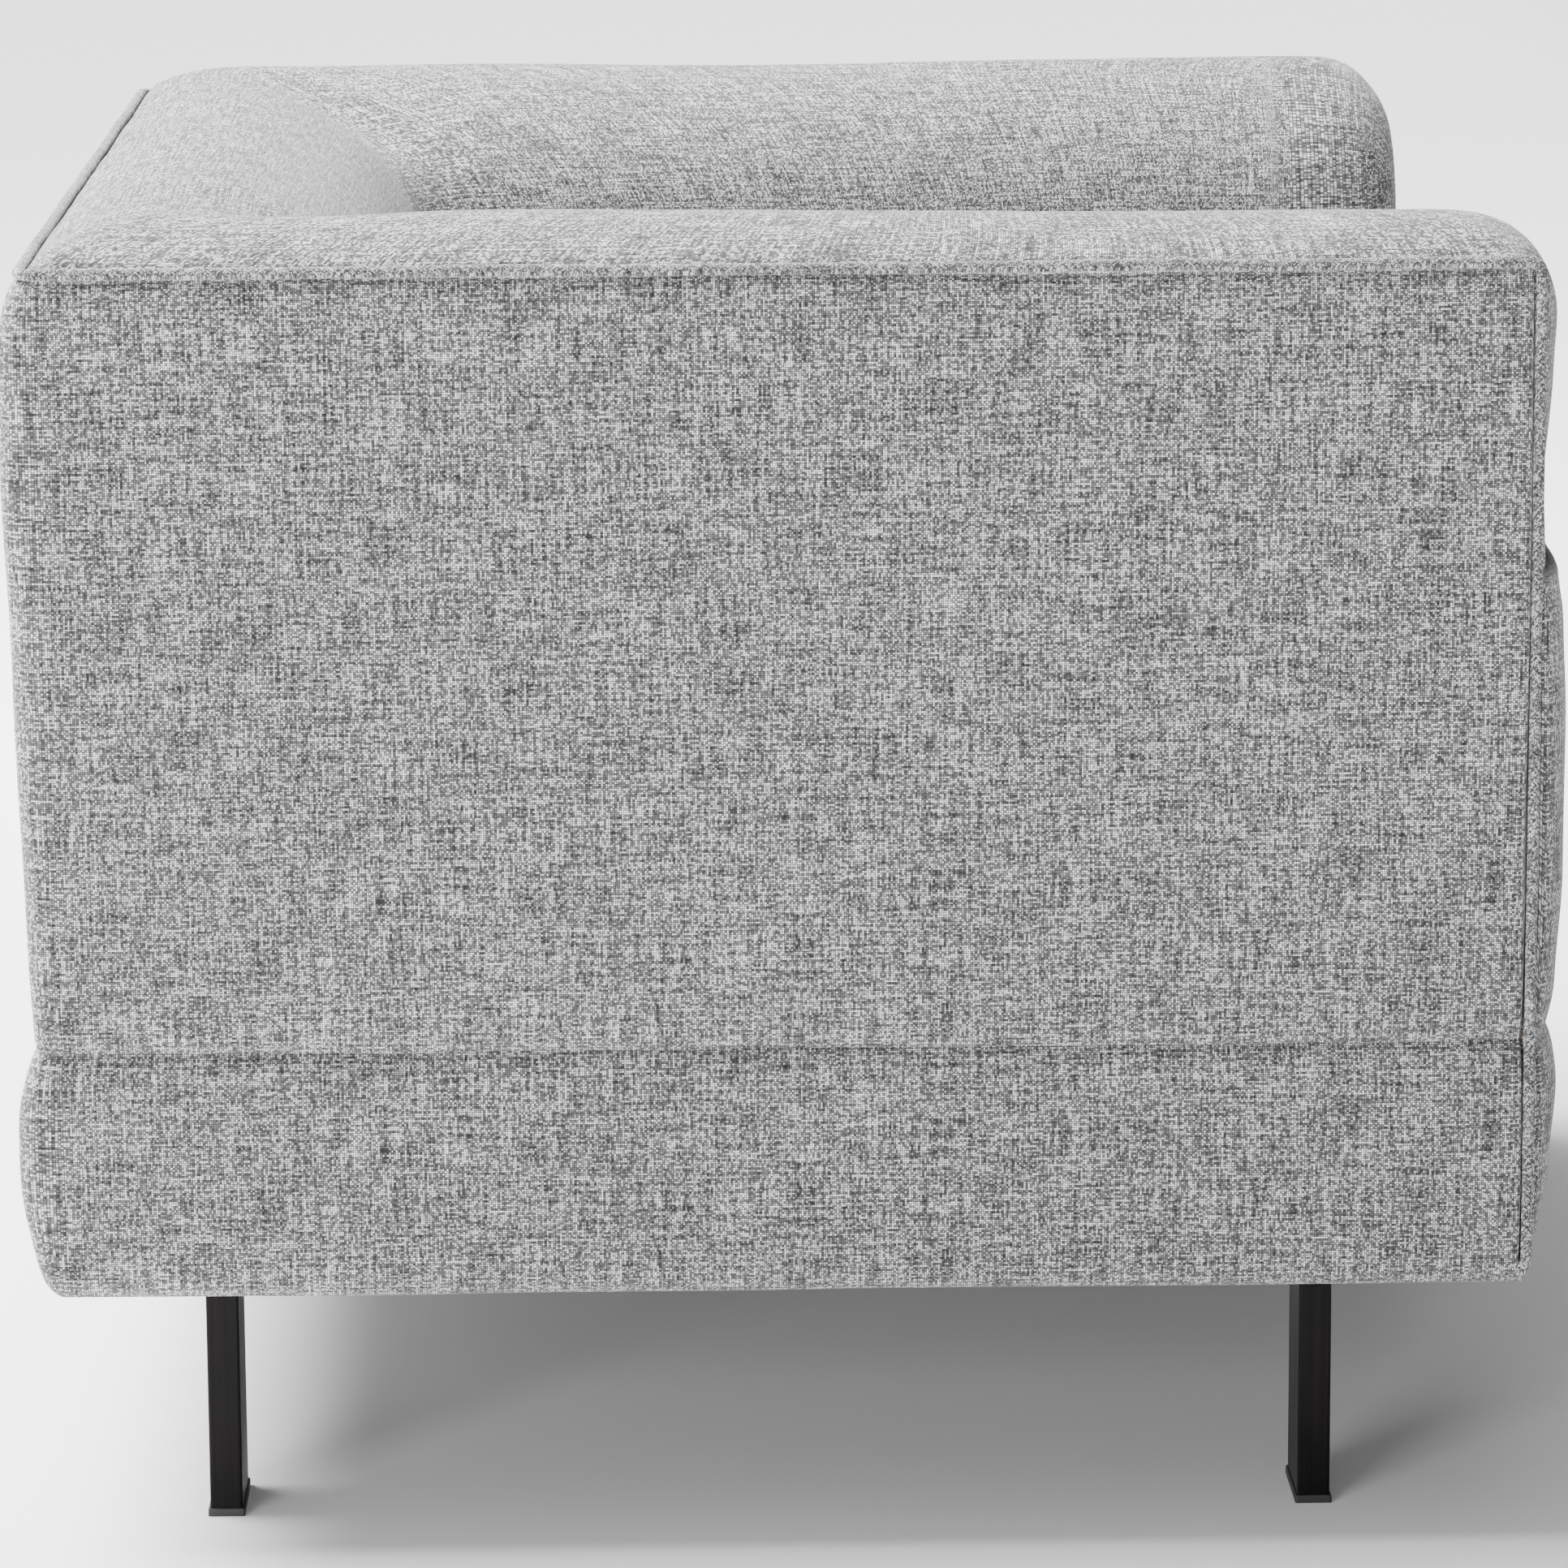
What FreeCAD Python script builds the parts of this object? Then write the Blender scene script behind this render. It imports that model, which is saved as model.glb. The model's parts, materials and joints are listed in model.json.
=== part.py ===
"""Upholstered armchair with a tight seat, low rolled arms and back, and four steel blade legs.

Millimetres. X runs across the chair, -Y is the front and +Z is up. The origin is on the floor, under
the middle of the chair's box. "Right" is the sitter's right, which is -X, and each right-hand piece
has a mirrored left-hand one.
"""

import FreeCAD, Part
import math
import os

import Sketcher

doc = FreeCAD.newDocument("armchair")

# ---------------------------------------------------------------- driving dimensions
SIZES = {
    # the outside of the chair
    "OverallWidth": 852,
    "PanelDepth": 710,  # front piping to the rear seam
    "SeatProud": 28,  # seat front, ahead of the front piping
    "ArmFrontProud": 23,
    "BandProud": 24,
    "RearProud": 10,  # crown of the rear panel, behind the rear seam
    "FloorGap": 128,  # floor to the underside of the base band
    "TierHeight": 248,  # floor to the pinched seam over the base band
    "SeatHeight": 479,
    "CrownHeight": 643,
    "ArmThickness": 174,
    "BackThickness": 174,
    "RollRadius": 107.5,
    "SeatNose": 30,  # rounding along the seat's front edge
    "CornerRound": 3,  # where piping turns a corner
    # layers
    "Fabric": 2,
    "Wadding": 8,
    "Board": 3,
    "Piping": 5,
    "InnerFoam": 56,
    "SeatFoam": 133,
    "Felt": 4,
    "Fit": 0.5,  # clearance between neighbouring layers
    # timber frame
    "Timber": 22,
    "FrameSetback": 10,  # frame behind the front piping
    "Hem": 6,  # frame above the underside of the band
    "BaseRail": 95,
    "SeatRail": 70,
    "TackRail": 48,
    "TopRailWidth": 100,
    "BlockWidth": 110,
    "BlockDepth": 120,
    # legs
    "LegInset": 67,
    "LegWidth": 50,
    "LegThickness": 16,
    "LegWall": 2,
    "LegEdge": 1.5,
    "FrontLegSetback": 92,  # front piping to the middle of a front leg
    "RearLegSetback": 83,
    "PlateLength": 92,
    "PlateWidth": 70,
    "PlateThickness": 4,
    "CapHeight": 4,
    "CapLip": 1,
    "CapPlug": 14,
    # fasteners
    "BoltRadius": 4,
    "BoltHole": 4.5,
    "BoltHead": 6.5,
    "BoltHeadHeight": 5.3,
    "BoltLength": 28,
    "BoltSpanX": 70,
    "BoltSpanY": 46,
    "NutBarrel": 5,
    "NutDepth": 10,
    "NutFlange": 10,
    "NutSheet": 1.5,
    # suspension
    "SpringWire": 3.6,
    "SpringSwing": 44,  # width of a zigzag spring
    "ClipLength": 26,
    "ClipWidth": 16,
    "ClipHeight": 4.8,
    "TieWire": 3,
    "StrapWidth": 50,
    "StrapThickness": 2,
}
SPRINGS = 4
SPRING_BENDS = 28
TIES = 2
STRAPS = 4

sheet = doc.addObject("Spreadsheet::Sheet", "Sizes")
for row, (alias, number) in enumerate(SIZES.items(), start=1):
    sheet.set(f"A{row}", alias)
    sheet.set(f"B{row}", str(number))
    sheet.setAlias(f"B{row}", alias)
doc.recompute()


def expand(text):
    """Writes each size's plain name in an expression as the sheet's own cell."""
    words = []
    word = ""
    for letter in text + " ":
        if letter.isalnum():
            word += letter
            continue
        words.append(f"Sizes.{word}" if word in SIZES else word)
        words.append(letter)
        word = ""
    return "".join(words).strip()


def number(text):
    """The value that an expression on the sizes has now."""
    value = sheet.evalExpression(expand(text))
    return float(getattr(value, "Value", value))


# ---------------------------------------------------------------- planes that pieces share
HALF = "(OverallWidth / 2)"
FRONT_SEAM = "((SeatProud - RearProud - PanelDepth) / 2)"
REAR_SEAM = "((SeatProud - RearProud + PanelDepth) / 2)"
SEAT_FRONT = f"({FRONT_SEAM} - SeatProud)"
REAR_FACE = f"({REAR_SEAM} + RearProud)"
SKIN = "(Fabric + Wadding + Board)"
FRAME_SIDE = f"({HALF} - {SKIN})"
FRAME_FRONT = f"({FRONT_SEAM} + FrameSetback)"
FRAME_REAR = f"({REAR_SEAM} - {SKIN})"
FRAME_FLOOR = "(FloorGap + Hem)"
BASE_TOP = f"({FRAME_FLOOR} + BaseRail)"
ARM_INNER = f"({HALF} - ArmThickness)"
BACK_INNER = f"({REAR_SEAM} - BackThickness)"
FRAME_INNER = f"({ARM_INNER} + Fabric + InnerFoam + Board)"
BACK_FRAME = f"({BACK_INNER} + Fabric + InnerFoam + Board)"
ROLL_SIDE = f"({ARM_INNER} + RollRadius)"
ROLL_REAR = f"({BACK_INNER} + RollRadius)"
ROLL_HEIGHT = "(CrownHeight - RollRadius)"
RAIL_TOP = f"({ROLL_HEIGHT} + Timber + Fabric)"
RAIL_FLOOR = f"({RAIL_TOP} - Timber)"
FOAM_FLOOR = "(SeatHeight - Fabric - SeatFoam)"
FELT_FLOOR = f"({FOAM_FLOOR} - Felt - Fit)"
SEAT_RAIL_TOP = f"({FELT_FLOOR} - SpringWire - TieWire - Fit)"
SEAT_RAIL_FLOOR = f"max({BASE_TOP}; {SEAT_RAIL_TOP} - SeatRail)"
PIPING_SIDE = f"({HALF} - Piping / 2)"
PIPING_FRONT = f"({FRONT_SEAM} - Piping / 2)"
PIPING_REAR = f"({REAR_SEAM} - Piping / 2)"
PIPING_OUT = f"({PIPING_SIDE} - {ROLL_SIDE})"
PIPING_RISE = f"sqrt(RollRadius * RollRadius - {PIPING_OUT} * {PIPING_OUT})"
PIPING_HEIGHT = f"({ROLL_HEIGHT} + {PIPING_RISE})"
PANEL_TOP = f"({PIPING_HEIGHT} - Piping / 2)"
PANEL_FRONT = f"({FRONT_SEAM} + Fit)"
PANEL_FLOOR = "(TierHeight + Fit)"
OUTSIDE = f"({HALF} - Fabric)"
FOAM_RADIUS = "(RollRadius - Fabric)"
FOAM_NEAR = f"({ARM_INNER} + Fabric)"
BACK_NEAR = f"({BACK_INNER} + Fabric)"
FOAM_TOP = f"({ROLL_HEIGHT} - Fit)"
INSIDE_PIPING = f"({HALF} - Piping - Fit)"
INSIDE_PANEL = f"({FRAME_SIDE} - Fit)"
LEG_MIDDLE = f"({HALF} - LegInset - LegWidth / 2)"
FRONT_LEG = f"({FRONT_SEAM} + FrontLegSetback)"
REAR_LEG = f"({REAR_SEAM} - RearLegSetback)"

parts = []


def name_part(piece, label):
    """Makes a document object one of the chair's sub-parts."""
    piece.Label = label
    parts.append(piece)
    return piece


def bind(piece, **sizes):
    for key, text in sizes.items():
        piece.setExpression(key.replace("__", "."), expand(text))
    return piece


def slab(name, x, y, z):
    """A box between three pairs of planes, each pair as two expressions."""
    piece = doc.addObject("Part::Box", name)
    bind(piece, Length=f"{x[1]} - {x[0]}", Width=f"{y[1]} - {y[0]}", Height=f"{z[1]} - {z[0]}")
    bind(piece, Placement__Base__x=x[0], Placement__Base__y=y[0], Placement__Base__z=z[0])
    return piece


def rod(name, radius, length, x, y, z):
    """An upright cylinder that starts at a point."""
    piece = doc.addObject("Part::Cylinder", name)
    bind(piece, Radius=radius, Height=length)
    bind(piece, Placement__Base__x=x, Placement__Base__y=y, Placement__Base__z=z)
    return piece


def less(name, base, tool):
    piece = doc.addObject("Part::Cut", name)
    piece.Base = base
    piece.Tool = tool
    return piece


def together(name, pieces, kind="Part::MultiFuse"):
    piece = doc.addObject(kind, name)
    if kind == "Part::Compound":
        piece.Links = pieces
    else:
        piece.Shapes = pieces
    return piece


def mirror(name, source):
    """The same piece on the other side of the chair's middle plane."""
    piece = doc.addObject("Part::Mirroring", name)
    piece.Source = source
    piece.Normal = FreeCAD.Vector(1, 0, 0)
    return piece


def pair(piece, label):
    """Names a right-hand piece and adds its left-hand twin."""
    name_part(piece, f"{label}_right")
    name_part(mirror(f"{piece.Name}Left", piece), f"{label}_left")


def both_sides(pieces, label):
    """Groups small right-hand pieces and their left-hand twins as separate solids of one node."""
    twins = [mirror(f"{piece.Name}Left", piece) for piece in pieces]
    name_part(together(f"{pieces[0].Name}Group", [*pieces, *twins], "Part::Compound"), label)


def mid(text):
    return (f"-({text})", f"({text})")


# ---------------------------------------------------------------- sketches
def sketch_on(body, name, role, offset="0"):
    """An empty sketch on one of the body's origin planes, moved along the plane's normal."""
    sketch = body.newObject("Sketcher::SketchObject", name)
    plane = next(p for p in body.Origin.OriginFeatures if p.Role == role)
    sketch.AttachmentSupport = [(plane, "")]
    sketch.MapMode = "FlatFace"
    sketch.setExpression("AttachmentOffset.Base.z", expand(offset))
    return sketch


def hold(sketch, kind, curve, end, text):
    """Holds one coordinate of a curve's end at an expression's value."""
    index = sketch.addConstraint(Sketcher.Constraint(kind, -1, 1, curve, end, number(text)))
    sketch.setExpression(f"Constraints[{index}]", expand(text))


def place(sketch, curve, end, x, y):
    """Holds an end of a curve at a point given by two expressions."""
    hold(sketch, "DistanceX", curve, end, x)
    hold(sketch, "DistanceY", curve, end, y)


def draw(sketch, corners, arcs=None):
    """A closed outline through corners. arcs gives, for a side, its centre and which way it turns."""
    arcs = arcs or {}
    points = [FreeCAD.Vector(number(x), number(y), 0) for x, y in corners]
    ends = {}
    for i, start in enumerate(points):
        stop = points[(i + 1) % len(points)]
        if i not in arcs:
            sketch.addGeometry(Part.LineSegment(start, stop), False)
            place(sketch, i, 1, *corners[i])
            ends[i] = (1, 2)
            continue
        centre, turn = arcs[i]
        middle = FreeCAD.Vector(number(centre[0]), number(centre[1]), 0)
        out, home = start - middle, stop - middle
        low, high = (out, home) if turn > 0 else (home, out)
        circle = Part.Circle(middle, FreeCAD.Vector(0, 0, 1), out.Length)
        span = (math.atan2(low.y, low.x), math.atan2(high.y, high.x))
        sketch.addGeometry(Part.ArcOfCircle(circle, *span), False)
        place(sketch, i, 3, *centre)
        ends[i] = (1, 2) if turn > 0 else (2, 1)
        across = abs(out.y) > abs(out.x)
        hold(sketch, "DistanceX" if across else "DistanceY", i, ends[i][0], corners[i][0 if across else 1])
    for i in range(len(points)):
        after = (i + 1) % len(points)
        sketch.addConstraint(Sketcher.Constraint("Coincident", i, ends[i][1], after, ends[after][0]))
    return sketch


def pad(body, sketch, length, midplane=False, reverse=False):
    feature = body.newObject("PartDesign::Pad", f"{sketch.Name}Pad")
    feature.Profile = sketch
    feature.setExpression("Length", expand(length))
    feature.Midplane = midplane
    feature.Reversed = reverse
    sketch.Visibility = False
    body.Tip = feature
    return feature


def pocket_through(body, sketch):
    feature = body.newObject("PartDesign::Pocket", f"{sketch.Name}Pocket")
    feature.Profile = sketch
    feature.Type = "ThroughAll"
    feature.Midplane = True
    body.Tip = feature
    return feature


def new_body(name):
    return doc.addObject("PartDesign::Body", name)


# ---------------------------------------------------------------- timber frame
def timber_frame():
    base = (FRAME_FLOOR, BASE_TOP)
    front = (FRAME_FRONT, f"({FRAME_FRONT} + Timber)")
    rear = (f"({FRAME_REAR} - Timber)", FRAME_REAR)
    between = (front[1], rear[0])
    side = (f"-{FRAME_SIDE}", f"-({FRAME_SIDE} - Timber)")
    name_part(slab("BaseFrontRail", mid(FRAME_SIDE), front, base), "base_front_rail")
    name_part(slab("BaseRearRail", mid(FRAME_SIDE), rear, base), "base_rear_rail")
    pair(slab("BaseSideRail", side, between, base), "base_side_rail")
    middle = slab("BaseCrossRail", mid(f"{FRAME_SIDE} - Timber"), mid("Timber / 2"), base)
    name_part(middle, "base_cross_rail")

    post = (f"-{FRAME_SIDE}", f"-({FRAME_INNER} + Timber)")
    upright = (BASE_TOP, RAIL_FLOOR)
    both_sides([slab("FrontPost", post, front, upright)], "front_posts")
    both_sides([slab("RearPost", post, rear, upright)], "rear_posts")

    top = (RAIL_FLOOR, RAIL_TOP)
    arm_rail = (f"-{FRAME_SIDE}", f"-{FRAME_INNER}")
    pair(slab("ArmTopRail", arm_rail, (FRAME_FRONT, FRAME_REAR), top), "arm_top_rail")
    name_part(slab("BackTopRail", mid(FRAME_INNER), (BACK_FRAME, FRAME_REAR), top), "back_top_rail")

    inner = (f"-({FRAME_INNER} + Timber)", f"-{FRAME_INNER}")
    tack = (f"({RAIL_FLOOR} - TackRail)", RAIL_FLOOR)
    behind = (BACK_FRAME, f"({BACK_FRAME} + Timber)")
    both_sides([slab("ArmTackRail", inner, (FRAME_FRONT, FRAME_REAR), tack)], "arm_tack_rails")
    name_part(slab("BackTackRail", mid(FRAME_INNER), behind, tack), "back_tack_rail")

    seat = (SEAT_RAIL_FLOOR, SEAT_RAIL_TOP)
    name_part(slab("SeatFrontRail", mid(f"{FRAME_INNER} + Timber"), front, seat), "seat_front_rail")
    both_sides([slab("SeatSideRail", inner, (front[1], FRAME_REAR), seat)], "seat_side_rails")
    name_part(slab("SeatRearRail", mid(FRAME_INNER), behind, seat), "seat_rear_rail")
    name_part(slab("BackStile", mid("Timber / 2"), behind, (SEAT_RAIL_TOP, tack[0])), "back_stile")


# ---------------------------------------------------------------- legs and their fixings
LEGS = {"front": (FRONT_LEG, FRAME_FRONT, 1), "rear": (REAR_LEG, FRAME_REAR, -1)}
PLATE_FLOOR = f"({FRAME_FLOOR} - PlateThickness)"
BLOCK_TOP = f"({FRAME_FLOOR} + Timber)"


def bolt_spots(leg_y):
    """The four bolt centres of one right-hand leg plate."""
    for x in (-1, 1):
        for y in (-1, 1):
            yield f"(-{LEG_MIDDLE} + {x} * BoltSpanX / 2)", f"({leg_y} + {y} * BoltSpanY / 2)"


def leg(end, leg_y):
    """A flat steel tube with its top plate welded on, and holes for four bolts."""
    body = new_body(f"{end}Leg".capitalize())
    x = (f"(-{LEG_MIDDLE} - LegWidth / 2)", f"(-{LEG_MIDDLE} + LegWidth / 2)")
    y = (f"({leg_y} - LegThickness / 2)", f"({leg_y} + LegThickness / 2)")
    outline = sketch_on(body, f"{body.Name}Tube", "XY_Plane", "CapHeight")
    draw(outline, [(x[0], y[0]), (x[1], y[0]), (x[1], y[1]), (x[0], y[1])])
    tube = pad(body, outline, f"{PLATE_FLOOR} - CapHeight")
    doc.recompute()
    corners = [
        f"Edge{i}"
        for i, edge in enumerate(tube.Shape.Edges, start=1)
        if edge.BoundBox.ZLength > edge.Length / 2
    ]

    rounded = body.newObject("PartDesign::Fillet", f"{body.Name}Edges")
    rounded.Base = (tube, corners)
    rounded.setExpression("Radius", expand("LegEdge"))
    body.Tip = rounded
    hollow = sketch_on(body, f"{body.Name}Hollow", "XY_Plane", "CapHeight")
    inside = [
        (f"({x[0]} + LegWall)", f"({y[0]} + LegWall)"),
        (f"({x[1]} - LegWall)", f"({y[0]} + LegWall)"),
        (f"({x[1]} - LegWall)", f"({y[1]} - LegWall)"),
        (f"({x[0]} + LegWall)", f"({y[1]} - LegWall)"),
    ]
    draw(hollow, inside)
    pocket_through(body, hollow)
    plate = sketch_on(body, f"{body.Name}Plate", "XY_Plane", PLATE_FLOOR)
    px = (f"(-{LEG_MIDDLE} - PlateLength / 2)", f"(-{LEG_MIDDLE} + PlateLength / 2)")
    py = (f"({leg_y} - PlateWidth / 2)", f"({leg_y} + PlateWidth / 2)")
    draw(plate, [(px[0], py[0]), (px[1], py[0]), (px[1], py[1]), (px[0], py[1])])
    pad(body, plate, "PlateThickness")
    holes = sketch_on(body, f"{body.Name}Holes", "XY_Plane", PLATE_FLOOR)
    for i, (hx, hy) in enumerate(bolt_spots(leg_y)):
        centre = FreeCAD.Vector(number(hx), number(hy), 0)
        holes.addGeometry(Part.Circle(centre, FreeCAD.Vector(0, 0, 1), number("BoltHole")), False)
        place(holes, i, 3, hx, hy)
        index = holes.addConstraint(Sketcher.Constraint("Radius", i, number("BoltHole")))
        holes.setExpression(f"Constraints[{index}]", expand("BoltHole"))
    pocket_through(body, holes)
    return body


def foot_cap(end, leg_y):
    """A moulded cap: a sole that stands a little proud of the tube, and a plug inside it."""
    body = new_body(f"{end}Cap".capitalize())
    grow = "(LegWidth / 2 + CapLip)"
    deep = "(LegThickness / 2 + CapLip)"
    x = (f"(-{LEG_MIDDLE} - {grow})", f"(-{LEG_MIDDLE} + {grow})")
    y = (f"({leg_y} - {deep})", f"({leg_y} + {deep})")
    sole = sketch_on(body, f"{body.Name}Sole", "XY_Plane")
    draw(sole, [(x[0], y[0]), (x[1], y[0]), (x[1], y[1]), (x[0], y[1])])
    base = pad(body, sole, "CapHeight")
    doc.recompute()
    edges = [
        f"Edge{i}"
        for i, edge in enumerate(base.Shape.Edges, start=1)
        if edge.BoundBox.ZMin > number("CapHeight") / 2 or edge.BoundBox.ZLength > 1e-3
    ]
    soft = body.newObject("PartDesign::Fillet", f"{body.Name}Edges")
    soft.Base = (base, edges)
    soft.setExpression("Radius", expand("CapLip"))
    body.Tip = soft
    wall = "(LegWall + Fit / 2)"
    plug = sketch_on(body, f"{body.Name}Plug", "XY_Plane", "CapHeight")
    px = (f"({x[0]} + CapLip + {wall})", f"({x[1]} - CapLip - {wall})")
    py = (f"({y[0]} + CapLip + {wall})", f"({y[1]} - CapLip - {wall})")
    draw(plug, [(px[0], py[0]), (px[1], py[0]), (px[1], py[1]), (px[0], py[1])])
    pad(body, plug, "CapPlug")
    return body


def leg_block(end, edge, way):
    """A plywood block in the corner of the base frame, drilled for the bolts and their tee nuts."""
    leg_y = LEGS[end][0]
    inner = f"({edge} + {way} * Timber)"
    far = f"({inner} + {way} * BlockDepth)"
    span = (inner, far) if way > 0 else (far, inner)
    outer = f"({FRAME_SIDE} - Timber)"
    wide = (f"-{outer}", f"-({outer} - BlockWidth)")
    wood = slab(f"{end}BlockWood", wide, span, (FRAME_FLOOR, BLOCK_TOP))
    drills = []
    for i, (x, y) in enumerate(bolt_spots(leg_y)):
        drills.append(rod(f"{end}Drill{i}", "BoltHole", "Timber", x, y, FRAME_FLOOR))
        bore = ("NutBarrel + Fit / 5", "NutDepth", x, y, f"({BLOCK_TOP} - NutDepth)")
        drills.append(rod(f"{end}NutBore{i}", *bore))
    return less(f"{end}Block", wood, together(f"{end}Drills", drills))


def fasteners(ends):
    """Hex bolts up through the plates, and tee nuts on top of the blocks: one group of each."""
    bolts = []
    nuts = []
    for end in ends:
        for i, (x, y) in enumerate(bolt_spots(LEGS[end][0])):
            head = doc.addObject("Part::Prism", f"{end}Head{i}")
            head.Polygon = 6
            bind(head, Circumradius="BoltHead", Height="BoltHeadHeight")
            floor = f"({PLATE_FLOOR} - BoltHeadHeight)"
            bind(head, Placement__Base__x=x, Placement__Base__y=y, Placement__Base__z=floor)
            shank = rod(f"{end}Shank{i}", "BoltRadius", "BoltLength", x, y, PLATE_FLOOR)
            bolts.append(together(f"{end}Bolt{i}", [head, shank]))
            flange = rod(f"{end}Flange{i}", "NutFlange", "NutSheet", x, y, BLOCK_TOP)
            depth = "(NutDepth - Fit)"
            barrel = rod(f"{end}Barrel{i}", "NutBarrel", depth, x, y, f"({BLOCK_TOP} - {depth})")
            floor = f"({BLOCK_TOP} - NutDepth)"
            thread = rod(f"{end}Thread{i}", "BoltRadius + Fit / 5", "NutDepth + NutSheet", x, y, floor)
            solid = together(f"{end}NutSolid{i}", [flange, barrel])
            nuts.append(less(f"{end}Nut{i}", solid, thread))
    bolts += [mirror(f"{b.Name}Left", b) for b in bolts]
    nuts += [mirror(f"{n.Name}Left", n) for n in nuts]
    name_part(together("LegBolts", bolts, "Part::Compound"), "leg_bolts")
    name_part(together("TeeNuts", nuts, "Part::Compound"), "leg_tee_nuts")


def legs():
    for end, (leg_y, _, _) in LEGS.items():
        pair(leg(end, leg_y), f"leg_{end}")
    both_sides([foot_cap(end, leg_y) for end, (leg_y, _, _) in LEGS.items()], "foot_caps")
    both_sides([leg_block(end, edge, way) for end, (_, edge, way) in LEGS.items()], "leg_blocks")
    fasteners(LEGS)


# ---------------------------------------------------------------- suspension
SPRING_Z = f"({SEAT_RAIL_TOP} + SpringWire / 2)"
SPRING_START = f"({FRAME_FRONT} + Timber / 2)"
SPRING_STOP = f"({BACK_FRAME} + Timber / 2)"


def spread(count):
    """Middles of pieces evenly spread between the arm frames."""
    return [f"({FRAME_INNER} * {(2 * i + 1) / count - 1})" for i in range(count)]


def zigzag_spring(middle):
    """Straight runs across the seat, joined by half-round bends that take turns left and right."""
    start, stop = number(SPRING_START), number(SPRING_STOP)
    height = number(SPRING_Z)
    bend = (stop - start) / (2 * SPRING_BENDS)
    reach = number("SpringSwing / 2") - bend
    edges = []
    side = 1
    y = start
    at = FreeCAD.Vector(middle - reach * side, y, height)
    for _ in range(SPRING_BENDS):
        end = FreeCAD.Vector(middle + reach * side, y, height)
        edges.append(Part.makeLine(at, end))
        crest = FreeCAD.Vector(middle + (reach + bend) * side, y + bend, height)
        after = FreeCAD.Vector(middle + reach * side, y + 2 * bend, height)
        edges.append(Part.Arc(end, crest, after).toShape())
        at = after
        y += 2 * bend
        side = -side
    edges.append(Part.makeLine(at, FreeCAD.Vector(middle + reach * side, y, height)))
    path = Part.Wire(edges)
    first = path.Vertexes[0].Point
    ring = Part.Wire(Part.makeCircle(number("SpringWire / 2"), first, FreeCAD.Vector(1, 0, 0)))
    return path.makePipeShell([ring], True, False)


def suspension():
    springs = doc.addObject("Part::Feature", "SeatSprings")
    springs.Shape = Part.makeCompound([zigzag_spring(number(x)) for x in spread(SPRINGS)])
    name_part(springs, "seat_springs")

    clips = []
    for i, x in enumerate(spread(SPRINGS)):
        for end, y in (("Front", SPRING_START), ("Rear", SPRING_STOP)):
            along = (f"({x} - ClipLength / 2)", f"({x} + ClipLength / 2)")
            across = (f"({y} - ClipWidth / 2)", f"({y} + ClipWidth / 2)")
            tall = (SEAT_RAIL_TOP, f"({SEAT_RAIL_TOP} + ClipHeight)")
            plate = slab(f"Clip{end}{i}", along, across, tall)
            groove = doc.addObject("Part::Cylinder", f"Groove{end}{i}")
            bind(groove, Radius="SpringWire / 2 + Fit / 5", Height="ClipLength")
            groove.Placement.Rotation = FreeCAD.Rotation(FreeCAD.Vector(0, 1, 0), 90)
            bind(groove, Placement__Base__x=along[0], Placement__Base__y=y, Placement__Base__z=SPRING_Z)
            slot = (f"({y} - SpringWire / 2 - Fit / 5)", f"({y} + SpringWire / 2 + Fit / 5)")
            under = slab(f"Under{end}{i}", along, slot, (SEAT_RAIL_TOP, SPRING_Z))
            channel = together(f"Channel{end}{i}", [groove, under])
            clips.append(less(f"SpringClip{end}{i}", plate, channel))
    name_part(together("SpringClips", clips, "Part::Compound"), "spring_clips")

    ties = []
    reach = f"({FRAME_INNER} - Board - Fit)"
    for i in range(TIES):
        share = (i + 1) / (TIES + 1)
        tie = doc.addObject("Part::Cylinder", f"Tie{i}")
        bind(tie, Radius="TieWire / 2", Height=f"2 * {reach}")
        tie.Placement.Rotation = FreeCAD.Rotation(FreeCAD.Vector(0, 1, 0), 90)
        y = f"({SPRING_START} + {share} * ({SPRING_STOP} - {SPRING_START}))"
        z = f"({SEAT_RAIL_TOP} + SpringWire + TieWire / 2 + Fit / 2)"
        bind(tie, Placement__Base__x=f"-{reach}", Placement__Base__y=y, Placement__Base__z=z)
        ties.append(tie)
    name_part(together("SpringTies", ties, "Part::Compound"), "spring_tie_wires")

    straps = []
    for i, x in enumerate(spread(STRAPS)):
        span = (f"({x} - StrapWidth / 2)", f"({x} + StrapWidth / 2)")
        deep = (f"({BACK_FRAME} - StrapThickness)", BACK_FRAME)
        straps.append(slab(f"Strap{i}", span, deep, (FOAM_FLOOR, RAIL_TOP)))
    name_part(together("BackWebbing", straps, "Part::Compound"), "back_webbing")


# ---------------------------------------------------------------- boards, wadding and foam
def boards():
    tall = (PANEL_FLOOR, PANEL_TOP)
    outside = (f"-({FRAME_SIDE} + Board)", f"-{FRAME_SIDE}")
    both_sides([slab("SideBoard", outside, (PANEL_FRONT, FRAME_REAR), tall)], "side_boards")
    behind = (FRAME_REAR, f"({FRAME_REAR} + Board)")
    name_part(slab("BackBoard", mid(FRAME_SIDE), behind, tall), "back_board")
    inside = (f"-{FRAME_INNER}", f"-({FRAME_INNER} - Board)")
    deep = (FRAME_FRONT, f"({BACK_FRAME} - StrapThickness - Fit)")
    both_sides([slab("ArmInnerBoard", inside, deep, (SEAT_RAIL_TOP, RAIL_TOP))], "arm_inner_boards")


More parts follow.
